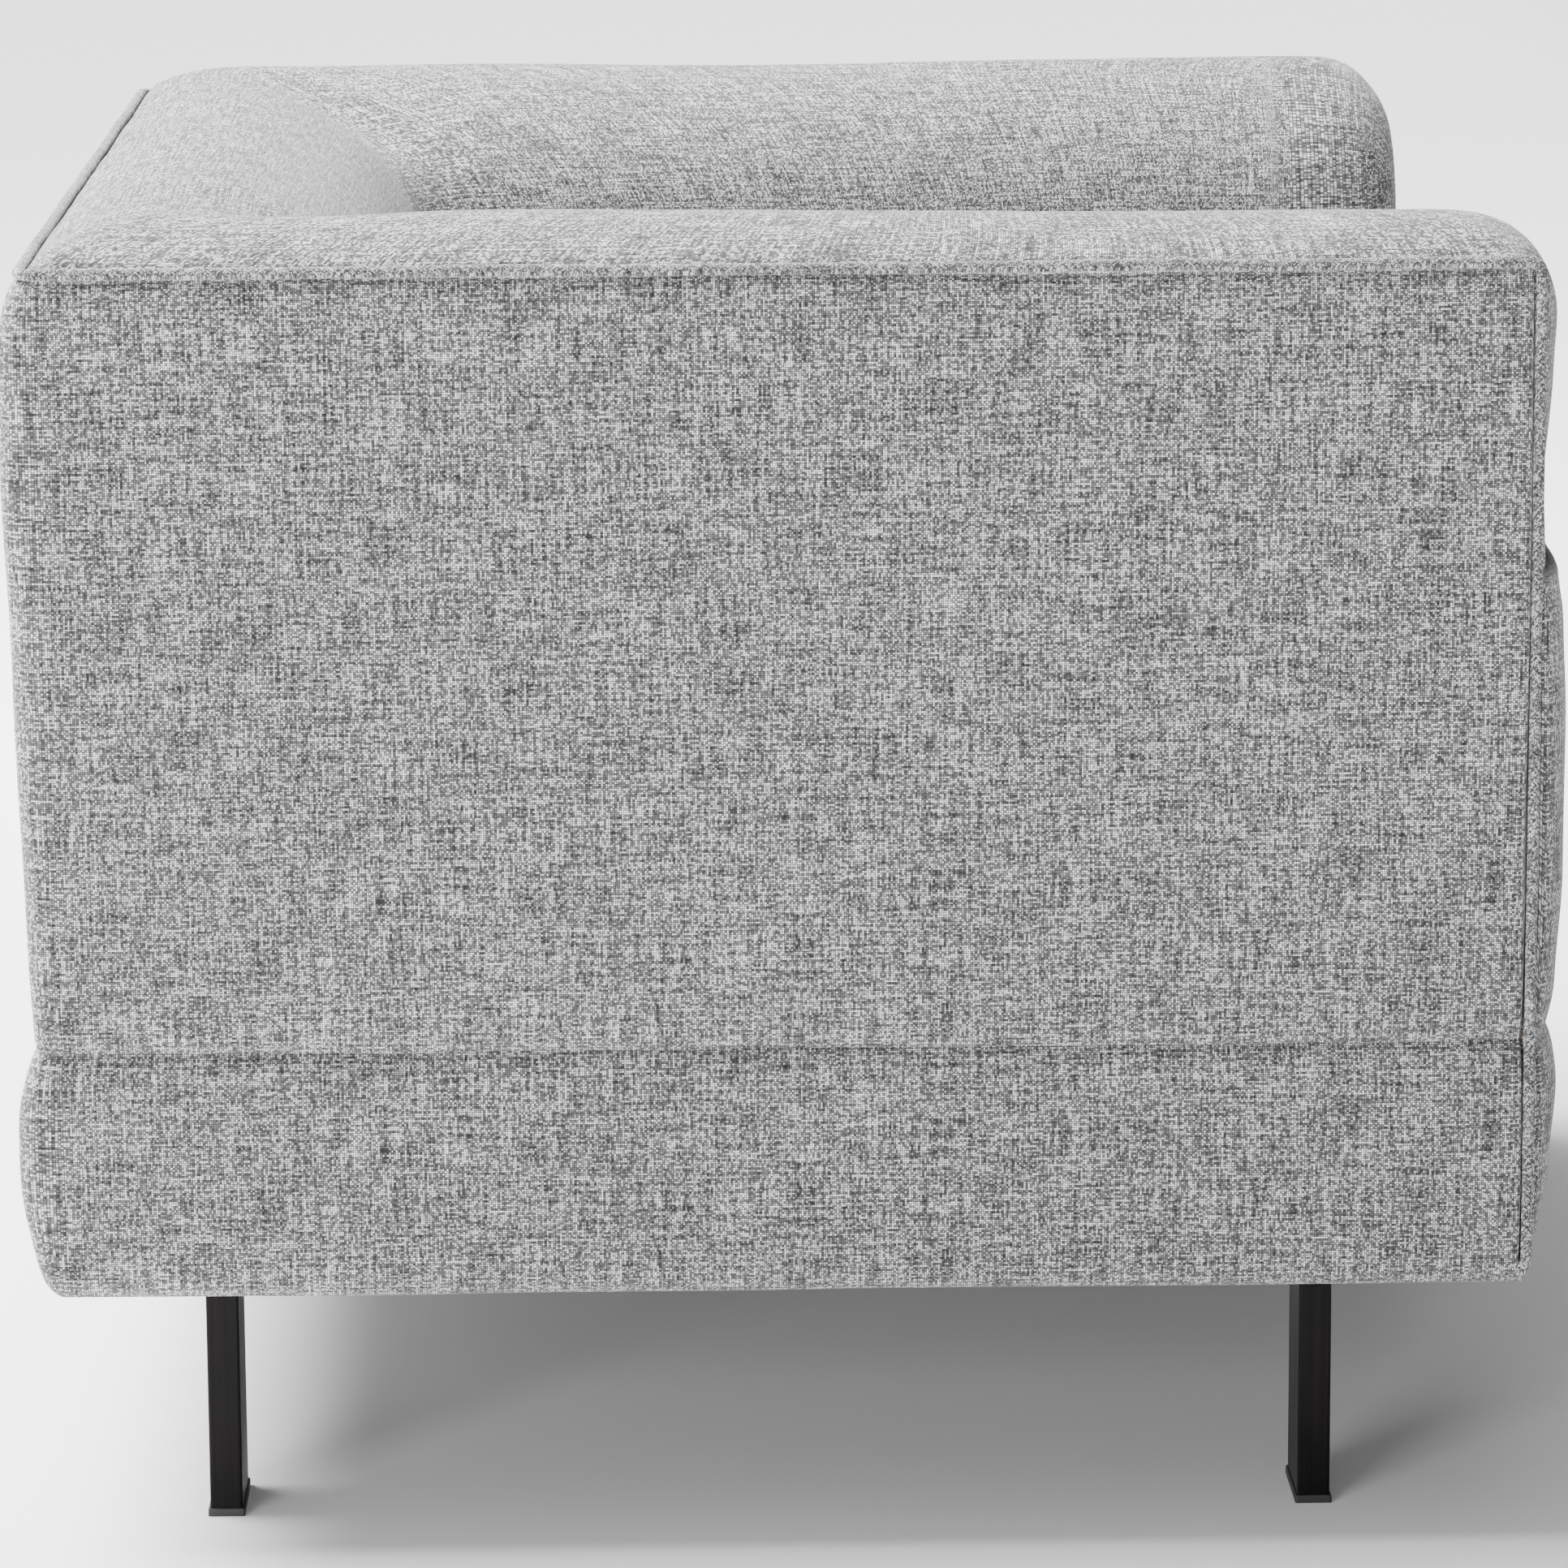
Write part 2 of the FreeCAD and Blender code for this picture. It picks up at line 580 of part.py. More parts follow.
def wadding():
    tall = (PANEL_FLOOR, PANEL_TOP)
    side = (f"-{OUTSIDE}", f"-({FRAME_SIDE} + Board)")
    pair(slab("SideWadding", side, (PANEL_FRONT, f"({FRAME_REAR} + Board)"), tall), "side_wadding")
    rear = (f"({FRAME_REAR} + Board)", f"({REAR_FACE} - Fabric)")
    name_part(slab("BackWadding", mid(OUTSIDE), rear, tall), "back_wadding")

    low = ("(FloorGap + Fabric)", "TierHeight")
    band = (f"-{OUTSIDE}", f"-{FRAME_SIDE}")
    both_sides([slab("BandSidePad", band, (PANEL_FRONT, FRAME_REAR), low)], "band_side_pads")
    band_rear = (FRAME_REAR, f"({REAR_FACE} - Fabric)")
    name_part(slab("BandRearPad", mid(OUTSIDE), band_rear, low), "band_rear_pad")
    band_front = (f"({FRONT_SEAM} - BandProud + Fabric)", FRAME_FRONT)
    name_part(slab("BandFrontPad", mid(INSIDE_PANEL), band_front, low), "band_front_pad")


def roll_outline(sketch, near, far, floor, centre, radius, side):
    """The rolled section: upright inside, one round over the top, and an upright outer edge."""
    rise = f"sqrt(max(0; {radius} * {radius} - ({far} - {centre}) * ({far} - {centre})))"
    corners = [
        (f"({side} * {near})", floor),
        (f"({side} * {far})", floor),
        (f"({side} * {far})", f"({ROLL_HEIGHT} + {rise})"),
        (f"({side} * {near})", ROLL_HEIGHT),
    ]
    if floor == ROLL_HEIGHT:
        corners = corners[1:]
    last = len(corners) - 2
    draw(sketch, corners, {last: ((f"({side} * {centre})", ROLL_HEIGHT), side)})


def notch_outline(sketch, near, far, side):
    """The corner that the top rail and the inner board take out of a roll's foam."""
    floor = f"({ROLL_HEIGHT} - Fit)"
    corners = [(f"({side} * {near})", floor), (f"({side} * {far})", floor)]
    corners += [(f"({side} * {far})", RAIL_TOP), (f"({side} * {near})", RAIL_TOP)]
    draw(sketch, corners)


def mitre(body, name, back=False):
    """Cuts the rear corner along the line from the outer corner to the inner one."""
    outer = (f"-{HALF}", REAR_SEAM)
    inner = (f"-{ARM_INNER}", BACK_INNER)
    wide, deep = f"-({HALF} + Timber)", f"({REAR_SEAM} + Timber)"
    if back:
        outline = [inner, (wide, BACK_INNER), (wide, REAR_SEAM), outer]
    else:
        outline = [inner, (f"-{ARM_INNER}", deep), (f"-{HALF}", deep), outer]
    outlines = [outline]
    if back:
        outlines.append([(f"(-1 * {x})", y) for x, y in outline])
    for i, corners in enumerate(outlines):
        cut = sketch_on(body, f"{name}Mitre{i}", "XY_Plane")
        draw(cut, corners)
        pocket_through(body, cut)


def arm_roll(name, near, far, floor, radius, front, notch=False):
    """A right arm's rolled length, from a front plane to the mitred rear corner."""
    body = new_body(name)
    outline = sketch_on(body, f"{name}Outline", "XZ_Plane", f"-({front})")
    roll_outline(outline, near, far, floor, ROLL_SIDE, radius, -1)
    pad(body, outline, f"{REAR_SEAM} - ({front})", reverse=True)
    if notch:
        bite = sketch_on(body, f"{name}Notch", "XZ_Plane")
        notch_outline(bite, f"({FRAME_INNER} - Board)", f"({HALF} + Board)", -1)
        pocket_through(body, bite)
    mitre(body, name)
    return body


def back_roll(name, near, far, floor, radius, half_length, notch=False):
    """The back's rolled length between the two mitres."""
    body = new_body(name)
    outline = sketch_on(body, f"{name}Outline", "YZ_Plane")
    roll_outline(outline, near, far, floor, ROLL_REAR, radius, 1)
    pad(body, outline, f"2 * {half_length}", midplane=True)
    if notch:
        bite = sketch_on(body, f"{name}Notch", "YZ_Plane")
        notch_outline(bite, f"({BACK_FRAME} - Board)", f"({REAR_FACE} + Board)", 1)
        pocket_through(body, bite)
    mitre(body, name, back=True)
    return body


def foam():
    deck = (FOAM_FLOOR, FOAM_TOP)
    arm = (f"-({FRAME_INNER} - Board)", f"-{FOAM_NEAR}")
    pair(slab("ArmInnerFoam", arm, (FRAME_FRONT, BACK_INNER), deck), "arm_inner_foam")
    back = (BACK_NEAR, f"({BACK_FRAME} - Board)")
    name_part(slab("BackInnerFoam", mid(f"{FRAME_INNER} - Board - Fit"), back, deck), "back_inner_foam")

    top = (FOAM_NEAR, FRAME_SIDE, ROLL_HEIGHT, FOAM_RADIUS, FRAME_FRONT, True)
    pair(arm_roll("ArmTopFoam", *top), "arm_top_foam")
    back_top = (BACK_NEAR, FRAME_REAR, ROLL_HEIGHT, FOAM_RADIUS, HALF, True)
    name_part(back_roll("BackTopFoam", *back_top), "back_top_foam")

    front = new_body("ArmFrontFoam")
    outline = sketch_on(front, "ArmFrontOutline", "XZ_Plane", f"-({FRAME_FRONT})")
    roll_outline(outline, FOAM_NEAR, INSIDE_PANEL, "(SeatHeight + Fit)", ROLL_SIDE, FOAM_RADIUS, -1)
    pad(front, outline, "ArmFrontProud + FrameSetback - Fabric")
    pair(front, "arm_front_foam")

    deep = (FRAME_FRONT, f"({BACK_INNER} - Fit)")
    tall = (FOAM_FLOOR, "(SeatHeight - Fabric)")
    name_part(slab("SeatFoam", mid(f"{ARM_INNER} - Fabric"), deep, tall), "seat_foam")
    felt = (FRAME_FRONT, f"({BACK_FRAME} - StrapThickness - Fit)")
    span = mid(f"{FRAME_INNER} - Board - Fit")
    name_part(slab("SpringFelt", span, felt, (FELT_FLOOR, f"({FELT_FLOOR} + Felt)")), "spring_felt")

    nose = new_body("SeatFrontFoam")
    outline = sketch_on(nose, "SeatFrontOutline", "YZ_Plane")
    face = f"({SEAT_FRONT} + Fabric)"
    bend = "(SeatNose - Fabric)"
    top_z = "(SeatHeight - Fabric)"
    corners = [
        (FRAME_FRONT, PANEL_FLOOR),
        (FRAME_FRONT, top_z),
        (f"({face} + {bend})", top_z),
        (face, f"({top_z} - {bend})"),
        (face, PANEL_FLOOR),
    ]
    draw(outline, corners, {2: ((f"({face} + {bend})", f"({top_z} - {bend})"), 1)})
    pad(nose, outline, f"2 * {INSIDE_PANEL}", midplane=True)
    name_part(nose, "seat_front_foam")


# ---------------------------------------------------------------- covers
def outer_wrap(name, outside, inside, rear, front, z):
    """A skin round both sides and the rear, open at the front."""
    whole = slab(f"{name}Whole", mid(outside), (front, rear), z)
    deep = (f"({front} - Timber)", f"({rear} - Fabric)")
    hollow = slab(f"{name}Hollow", mid(inside), deep, (f"({z[0]} - Timber)", f"({z[1]} + Timber)"))
    return less(name, whole, hollow)


def covers():
    tall = (PANEL_FLOOR, PANEL_TOP)
    name_part(outer_wrap("OuterCover", HALF, OUTSIDE, REAR_FACE, PANEL_FRONT, tall), "outer_cover")
    low = ("FloorGap", "TierHeight")
    name_part(outer_wrap("BandCover", HALF, OUTSIDE, REAR_FACE, PANEL_FRONT, low), "band_cover")
    face = f"({FRONT_SEAM} - BandProud)"
    front = slab("BandFrontCover", mid(INSIDE_PIPING), (face, f"({face} + Fabric)"), low)
    name_part(front, "band_front_cover")

    face = f"({FRONT_SEAM} - ArmFrontProud)"
    below = "(SeatHeight - Timber)"
    arm = arm_roll("ArmSkin", ARM_INNER, INSIDE_PIPING, "SeatHeight", "RollRadius", face)
    core = new_body("ArmCore")
    outline = sketch_on(core, "ArmCoreOutline", "XZ_Plane", f"-({face} + Fabric)")
    core_far = f"({ROLL_SIDE} + {FOAM_RADIUS})"
    roll_outline(outline, FOAM_NEAR, core_far, below, ROLL_SIDE, FOAM_RADIUS, -1)
    pad(core, outline, "PanelDepth + ArmFrontProud + RearProud", reverse=True)
    pair(less("ArmCover", arm, core), "arm_cover")

    edge = f"({REAR_SEAM} - Piping - Fit)"
    back = back_roll("BackSkin", BACK_INNER, edge, "SeatHeight", "RollRadius", HALF)
    back_core = new_body("BackCore")
    outline = sketch_on(back_core, "BackCoreOutline", "YZ_Plane")
    back_far = f"({ROLL_REAR} + {FOAM_RADIUS})"
    roll_outline(outline, BACK_NEAR, back_far, below, ROLL_REAR, FOAM_RADIUS, 1)
    pad(back_core, outline, "OverallWidth + Timber", midplane=True)
    name_part(less("BackCover", back, back_core), "back_cover")
    seat_cover()


def seat_cover():
    """One cover over the seat's top, its rounded nose and its full-width front."""
    body = new_body("SeatCover")
    front = sketch_on(body, "SeatCoverFront", "YZ_Plane")
    seam = f"({PANEL_FRONT} - Fit)"
    turn = (f"({SEAT_FRONT} + SeatNose)", "(SeatHeight - SeatNose)")
    corners = [
        (seam, "(SeatHeight - Fabric)"),
        (seam, "SeatHeight"),
        (turn[0], "SeatHeight"),
        (SEAT_FRONT, turn[1]),
        (SEAT_FRONT, PANEL_FLOOR),
        (f"({SEAT_FRONT} + Fabric)", PANEL_FLOOR),
        (f"({SEAT_FRONT} + Fabric)", turn[1]),
        (turn[0], "(SeatHeight - Fabric)"),
    ]
    draw(front, corners, {2: (turn, 1), 6: (turn, -1)})
    pad(body, front, f"2 * {INSIDE_PIPING}", midplane=True)
    top = sketch_on(body, "SeatCoverTop", "YZ_Plane")
    rear = f"({BACK_INNER} - Fit)"
    under = "(SeatHeight - Fabric)"
    flat = [(turn[0], under), (rear, under), (rear, "SeatHeight"), (turn[0], "SeatHeight")]
    draw(top, flat)
    pad(body, top, f"2 * ({ARM_INNER} - Fit)", midplane=True)
    name_part(body, "seat_cover")


# ---------------------------------------------------------------- piping and dust cover
def tube_along(name, edges, heading):
    """A round cord along straight runs and tangent arcs, from a start heading."""
    path = Part.Wire(edges)
    first = edges[0].Vertexes[0].Point
    ring = Part.Wire(Part.makeCircle(number("Piping / 2"), first, heading))
    cord = doc.addObject("Part::Feature", name)
    cord.Shape = path.makePipeShell([ring], True, False)
    return cord


def piping():
    """Piping runs up each front edge and along the arm, and round the top of the back."""
    x, front, rear = -number(PIPING_SIDE), number(PIPING_FRONT), number(PIPING_REAR)
    low, high = number("FloorGap"), number(PIPING_HEIGHT)
    bend = number("CornerRound")
    lean = bend * math.sqrt(0.5)
    foot = FreeCAD.Vector(x, front, low)
    up = FreeCAD.Vector(x, front, high - bend)
    over = FreeCAD.Vector(x, front + bend, high)
    crest = FreeCAD.Vector(x, front + bend - lean, high - bend + lean)
    corner = FreeCAD.Vector(x, rear - bend, high)
    arm = [Part.makeLine(foot, up), Part.Arc(up, crest, over).toShape(), Part.makeLine(over, corner)]
    pair(tube_along("ArmPiping", arm, FreeCAD.Vector(0, 0, 1)), "arm_piping")
    turn = FreeCAD.Vector(x + bend - lean, rear - bend + lean, high)
    begin = FreeCAD.Vector(x + bend, rear, high)
    across = FreeCAD.Vector(-begin.x, rear, high)
    back = [Part.Arc(corner, turn, begin).toShape(), Part.makeLine(begin, across)]
    mirrored = [FreeCAD.Vector(-p.x, p.y, p.z) for p in (begin, turn, corner)]
    back.append(Part.Arc(*mirrored).toShape())
    name_part(tube_along("BackPiping", back, FreeCAD.Vector(0, 1, 0)), "back_piping")


def dust_cover():
    """A thin cloth under the frame, cut out round the leg plates."""
    thin = (f"({FRAME_FLOOR} - Fit)", FRAME_FLOOR)
    cloth = slab("DustCloth", mid(FRAME_SIDE), (FRAME_FRONT, FRAME_REAR), thin)
    windows = []
    for end, (leg_y, _, _) in LEGS.items():
        for side in (-1, 1):
            x = f"({side} * {LEG_MIDDLE})"
            span = (f"({x} - PlateLength / 2 - Fit)", f"({x} + PlateLength / 2 + Fit)")
            deep = (f"({leg_y} - PlateWidth / 2 - Fit)", f"({leg_y} + PlateWidth / 2 + Fit)")
            name = f"{end}Window{'Right' if side < 0 else 'Left'}"
            windows.append(slab(name, span, deep, (PLATE_FLOOR, BLOCK_TOP)))
    name_part(less("DustCover", cloth, together("Windows", windows)), "dust_cover")


timber_frame()
legs()
suspension()
boards()
wadding()
foam()
covers()
piping()
dust_cover()
doc.recompute()

for thing in doc.Objects:
    if "Invalid" in thing.State or "Error" in thing.State:
        raise RuntimeError(f"{thing.Name} is {thing.State}: {thing.getStatusString()}")
for piece in parts:
    if piece.Shape.isNull() or not piece.Shape.isValid() or piece.Shape.Volume <= 0:
        raise RuntimeError(f"{piece.Label} has no sound shape")

os.makedirs("parts", exist_ok=True)
for piece in parts:
    piece.Shape.exportStep(f"parts/{piece.Label}.step")
    box = piece.Shape.BoundBox
    size = f"{box.XLength:.1f} x {box.YLength:.1f} x {box.ZLength:.1f}"
    print(f"{piece.Label}: {len(piece.Shape.Solids)} solid(s), {piece.Shape.Volume / 1000:.1f} cm3, {size}")
whole = Part.makeCompound([piece.Shape for piece in parts]).BoundBox
print(f"{len(parts)} parts, {whole.XLength:.1f} x {whole.YLength:.1f} x {whole.ZLength:.1f}")
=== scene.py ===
# %% [markdown]
# An upholstered armchair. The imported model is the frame: it gives every size, and the pieces that are
# already right, such as the steel legs, stay and get a better finish. The stuffed and covered pieces
# are made here over their plain stand-ins. The chair faces -Y, Z is up, and everything is in metres.

# %% Load the frame
import json
import math
import bmesh
import bpy
from mathutils import Matrix, Vector, noise


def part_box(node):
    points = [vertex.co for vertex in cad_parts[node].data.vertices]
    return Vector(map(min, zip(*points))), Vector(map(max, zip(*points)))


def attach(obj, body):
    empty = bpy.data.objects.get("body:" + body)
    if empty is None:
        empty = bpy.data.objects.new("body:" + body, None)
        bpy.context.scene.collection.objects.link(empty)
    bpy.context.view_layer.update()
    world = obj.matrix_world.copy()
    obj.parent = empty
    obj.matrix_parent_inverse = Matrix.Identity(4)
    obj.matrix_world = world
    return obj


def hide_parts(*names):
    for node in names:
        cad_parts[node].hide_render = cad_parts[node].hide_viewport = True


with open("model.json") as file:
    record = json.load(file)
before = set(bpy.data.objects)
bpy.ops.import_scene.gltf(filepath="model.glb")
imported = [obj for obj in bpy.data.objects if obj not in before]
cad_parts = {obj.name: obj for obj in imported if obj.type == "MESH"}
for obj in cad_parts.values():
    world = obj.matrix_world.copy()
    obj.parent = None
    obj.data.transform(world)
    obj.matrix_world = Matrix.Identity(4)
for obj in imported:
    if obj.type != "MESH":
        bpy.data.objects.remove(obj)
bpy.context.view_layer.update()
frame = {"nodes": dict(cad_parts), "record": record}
nodes = frame["nodes"]
bpy.ops.object.select_all(action="DESELECT")
MM = 0.001

# %% [markdown]
# The chair's seams lie on a few shared planes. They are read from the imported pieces, so the cloth meets
# the legs, the piping and the timber with no fitting.

# %% Planes of the chair
wrap_low, wrap_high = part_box("outer_cover")
band_low, band_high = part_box("band_cover")
arm_low, arm_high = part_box("arm_cover_left")
seat_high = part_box("seat_cover")[1]
cord_low, cord_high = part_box("arm_piping_left")

SIDE = wrap_high[0]  # outside of the side panels
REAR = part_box("back_piping")[1][1]  # rear seam
PANEL_TOP = wrap_high[2]
PANEL_FRONT = wrap_low[1]
TIER = band_high[2]  # pinched seam over the base band
FLOOR = band_low[2]  # underside of the base band
ARM_IN = arm_low[0]
ARM_OUT = arm_high[0]
ARM_FRONT = arm_low[1]
CROWN = arm_high[2]
SEAT_TOP = seat_high[2]
BACK_IN = seat_high[1]
PIPE = (cord_high[0] - cord_low[0]) / 2
PIPE_X = cord_high[0] - PIPE
PIPE_FRONT = cord_low[1] + PIPE
PIPE_TOP = cord_high[2] - PIPE
ROLL = 107.5 * MM  # radius of the rolled top
ROLL_X = ARM_IN + ROLL
ROLL_Z = CROWN - ROLL
FRAME_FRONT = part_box("front_posts")[0][1]
PADDING_BACK = FRAME_FRONT - 1 * MM  # where the front paddings end, against the frame
LAP = 2.5 * MM  # how far the pieces above and below overlap, hidden in the pinched seam
FRONT_SEAM = PIPE_FRONT + 1 * MM  # where the front covers start, beside the piping
print("seat height", round(SEAT_TOP, 4), "crown", round(CROWN, 4), "tier", round(TIER, 4))

# %% [markdown]
# Each covered piece is a closed skin of rings, like the ribs of a boat: one ring is a cut through the
# piece, and the rings follow one another along it. The rings carry their own cloth map in metres, one
# way along the piece and the other round the ring, so the threads run over a roll as real cloth does.

# %% Helper: a closed skin from rings
def lengths(points):
    total = [0.0]
    for a, b in zip(points, points[1:]):
        total.append(total[-1] + (b - a).length)
    return total


def skin(name, rings, flat_from=None, start=0.0):
    """A closed mesh through rings of points. Faces between rings from flat_from on take a flat map."""
    count = len(rings[0])
    verts = [p for ring in rings for p in ring]
    faces = []
    for i in range(len(rings) - 1):
        for j in range(count):
            k = (j + 1) % count
            faces.append((i * count + j, i * count + k, (i + 1) * count + k, (i + 1) * count + j))
    sides = len(faces)
    faces.append(tuple(reversed(range(count))))
    faces.append(tuple(range((len(rings) - 1) * count, len(rings) * count)))
    mesh = bpy.data.meshes.new(name)
    mesh.from_pydata([tuple(p) for p in verts], [], faces)
    layer = mesh.uv_layers.new(name="cloth")
    around = lengths(rings[len(rings) // 2] + [rings[len(rings) // 2][0]])
    along = [start]
    for a, b in zip(rings, rings[1:]):
        along.append(along[-1] + sum((q - p).length for p, q in zip(a, b)) / count)
    for number, face in enumerate(mesh.polygons):
        i, j = divmod(number, count)
        flat = number >= sides
        if flat_from is not None and not flat:
            low, high = flat_from
            flat = i < low or i >= high
        for corner, loop in enumerate(face.loop_indices):
            p = mesh.vertices[face.vertices[corner]].co
            if flat:
                nx, ny, nz = (abs(n) for n in face.normal)
                if nz > max(nx, ny):
                    layer.data[loop].uv = (p.x, p.y)
                else:
                    layer.data[loop].uv = (p.y, p.z) if nx > ny else (p.x, p.z)
                continue
            row = i + (1 if corner in (2, 3) else 0)
            column = j + (1 if corner in (1, 2) else 0)
            layer.data[loop].uv = (along[row], around[column])
    obj = bpy.data.objects.new(name, mesh)
    bpy.context.scene.collection.objects.link(obj)
    bm = bmesh.new()
    bm.from_mesh(mesh)
    bmesh.ops.recalc_face_normals(bm, faces=bm.faces)
    bm.to_mesh(mesh)
    bm.free()
    for face in mesh.polygons:
        face.use_smooth = True
    return obj


def finish_modifier(obj, kind, **settings):
    """Adds one modifier and applies it."""
    bpy.ops.object.select_all(action="DESELECT")
    obj.select_set(True)
    bpy.context.view_layer.objects.active = obj
    modifier = obj.modifiers.new(kind.title(), kind)
    for key, value in settings.items():
        setattr(modifier, key, value)
    bpy.ops.object.modifier_apply(modifier=modifier.name)


def ease(x):
    """0 to 1, level at both ends."""
    x = min(max(x, 0.0), 1.0)
    return x * x * (3 - 2 * x)


def table(value, stops):
    """A smooth value between stops of (place, amount)."""
    if value <= stops[0][0]:
        return stops[0][1]
    for (a, x), (b, y) in zip(stops, stops[1:]):
        if value <= b:
            return x + (y - x) * ease((value - a) / (b - a))
    return stops[-1][1]


def run(a, b, count, last=False):
    """Evenly spaced points from a to b."""
    total = count if last else count - 1
    return [a + (b - a) * (i / count) for i in range(total + 1)]


def lump(p, scale, seed):
    """A slow rise and fall between -1 and 1."""
    return noise.noise(Vector((p.x * scale + seed, p.y * scale, p.z * scale)))


print("roll radius", ROLL, "tier seam", TIER)

# %% [markdown]
# Cloth over foam is never dead flat. It rises a little in the middle of a panel, sinks softly where
# the padding is thinner, and is drawn into small waves where a seam pulls it in. This helper moves each
# point of a piece along its own normal by those small amounts.

# %% Helper: settle the cloth
def settle(obj, swell=0.8, ripple=0.7, seams=(), seed=0.0):
    """Soft lumps over the whole piece, and waves that fade away from each level seam."""
    mesh = obj.data
    moves = []
    for v in mesh.vertices:
        p = v.co
        rise = swell * lump(p, 7.0, seed) + 0.35 * swell * lump(p, 19.0, seed + 4)
        for height, reach in seams:
            near = math.exp(-abs(p.z - height) / reach)
            line = Vector((p.x * 0.9, p.y * 0.9, p.z * 0.15))
            rise += ripple * near * (lump(line, 26.0, seed + 9) + 0.6 * lump(line, 55.0, seed + 2))
        moves.append(v.normal * rise * MM)
    for v, move in zip(mesh.vertices, moves):
        v.co = v.co + move


def soft_piece(obj, *stands_for, fill=0.9):
    """Rides on the chair and stands for its CAD pieces, which it hides."""
    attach(obj, "root")
    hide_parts(*stands_for)
    size = [round(v, 3) for v in obj.dimensions]
    print(obj.name, "size", size, "faces", len(obj.data.polygons))


# %% [markdown]
# The arms and the back are one long rolled cushion that goes round three sides. Its cut is an upright
# inside wall with a big round over the top. At each rear corner the two rolls meet on a slant in a soft
# hollow, and at the front each arm falls over in a waterfall and closes in a full, rounded face.

# %% Rolled arms and back: the cut through the roll
OUT_TOP = math.sqrt(ROLL**2 - (ARM_OUT - ROLL_X) ** 2) + ROLL_Z
TOP_ANGLE = math.atan2(OUT_TOP - ROLL_Z, ARM_OUT - ROLL_X)
ARC, WALL, UNDER, EDGE = 30, 8, 16, 14
IN_DEPTH = 54 * MM  # padding inside the inner wall
CREASE, CREASE_SPAN = 2.4 * MM, 3.5 * MM  # where the piping draws the roll in
RAIL_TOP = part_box("arm_top_rail_left")[1][2]


def roll_cut(full):
    """Points round the cut as (distance in from the outer edge, height). full closes down to the seat."""
    arc = []
    for i in range(ARC + 1):
        angle = TOP_ANGLE + (math.pi - TOP_ANGLE) * (i / ARC) ** 1.5
        crease = CREASE * math.exp(-(angle - TOP_ANGLE) * ROLL / CREASE_SPAN)
        radius = ROLL - crease
        arc.append(Vector((ROLL_X + radius * math.cos(angle), ROLL_Z + radius * math.sin(angle))))
    low = SEAT_TOP - 9 * MM
    wall = run(Vector((ARM_IN, ROLL_Z)), Vector((ARM_IN, low)), WALL)[1:] + [Vector((ARM_IN, low))]
    if full:
        under = run(Vector((ARM_IN, low)), Vector((ARM_OUT, low)), UNDER)[1:]
        edge = run(Vector((ARM_OUT, low)), Vector((ARM_OUT, OUT_TOP)), EDGE)
    else:
        shelf = RAIL_TOP + 1 * MM
        step = Vector((ARM_IN + IN_DEPTH, low))
        corner = Vector((ARM_IN + IN_DEPTH, shelf))
        end = Vector((ARM_OUT - 8 * MM, shelf))
        under = run(Vector((ARM_IN, low)), step, 4)[1:] + run(step, corner, 5) + run(corner, end, 7)
        edge = run(end, Vector((ARM_OUT, OUT_TOP)), EDGE)
    points = arc + wall + under + edge
    return [Vector((ARM_OUT - p.x, p.y)) for p in points]


LONG_CUT = roll_cut(False)
FULL_CUT = roll_cut(True)
print("points in a cut", len(LONG_CUT), len(FULL_CUT))

# %% [markdown]
# The rings start at one arm's front, go back along it, round the corner, across the back and forward
# again. Round a corner, the deeper a point is in the roll, the wider the bend it follows, so the outer
# edge turns sharply at the piping while the inner wall is well rounded.

# %% Rolled arms and back: rings along the arm, the corner and the back
REAR_EDGE = REAR - 2 * PIPE
ALONG, TURN, ACROSS = 62, 14, 66
SPINE = (ROLL_X - 12 * MM, SEAT_TOP + 40 * MM, ROLL_Z + 30 * MM)


def bend_at(depth):
    return 7 * MM + 0.25 * depth


def half_path(depth, front):
    """The left arm from its front to the rear corner, and half the back, at a depth in the roll."""
    x, y, r = ARM_OUT - depth, REAR_EDGE - depth, bend_at(depth)
    points = []
    for i in range(ALONG):
        points.append((x, front + (y - r - front) * i / ALONG))
    for i in range(TURN + 1):
        angle = math.pi / 2 * i / TURN
        points.append((x - r + r * math.cos(angle), y - r + r * math.sin(angle)))
    for i in range(1, ACROSS // 2 + 1):
        points.append(((x - r) * (1 - 2 * i / ACROSS), y))
    return points


ARM_FACE = ARM_FRONT + 6.5 * MM
EDGE_REACH = 21.5 * MM  # from the front seam to the arm's face
TOP_REACH = 75 * MM  # the waterfall over the arm's front


def front_reach(index):
    """At the arm's front: how far back the rounding starts, how far in it goes, and how round it is."""
    if index <= ARC:
        share = ease((index / ARC) ** 1.5 / 0.45)
        return EDGE_REACH + (TOP_REACH - EDGE_REACH) * share, (66 - 9 * share) * MM, 1 - 0.35 * share
    if index <= ARC + WALL:
        share = (index - ARC) / WALL
        return TOP_REACH - (TOP_REACH - EDGE_REACH) * share, (57 - 43 * share) * MM, 0.65 + 0.35 * share
    if index <= ARC + WALL + UNDER:
        return EDGE_REACH, 14 * MM, 1.0
    share = (index - ARC - WALL - UNDER) / EDGE
    return EDGE_REACH, (14 + 52 * ease(share / 0.35)) * MM, 1.0


def lean(z):
    """The arm's face draws back towards the seat."""
    return 8 * MM * ease((SEAT_TOP + 90 * MM - z) / (90 * MM))


COUNT = len(LONG_CUT)
half = []
for index, cut in enumerate(LONG_CUT):
    reach = front_reach(index)[0]
    half.append([(x, y, cut.y) for x, y in half_path(cut.x, ARM_FACE + reach)])
rows = [[Vector(half[j][i]) for j in range(COUNT)] for i in range(len(half[0]))]

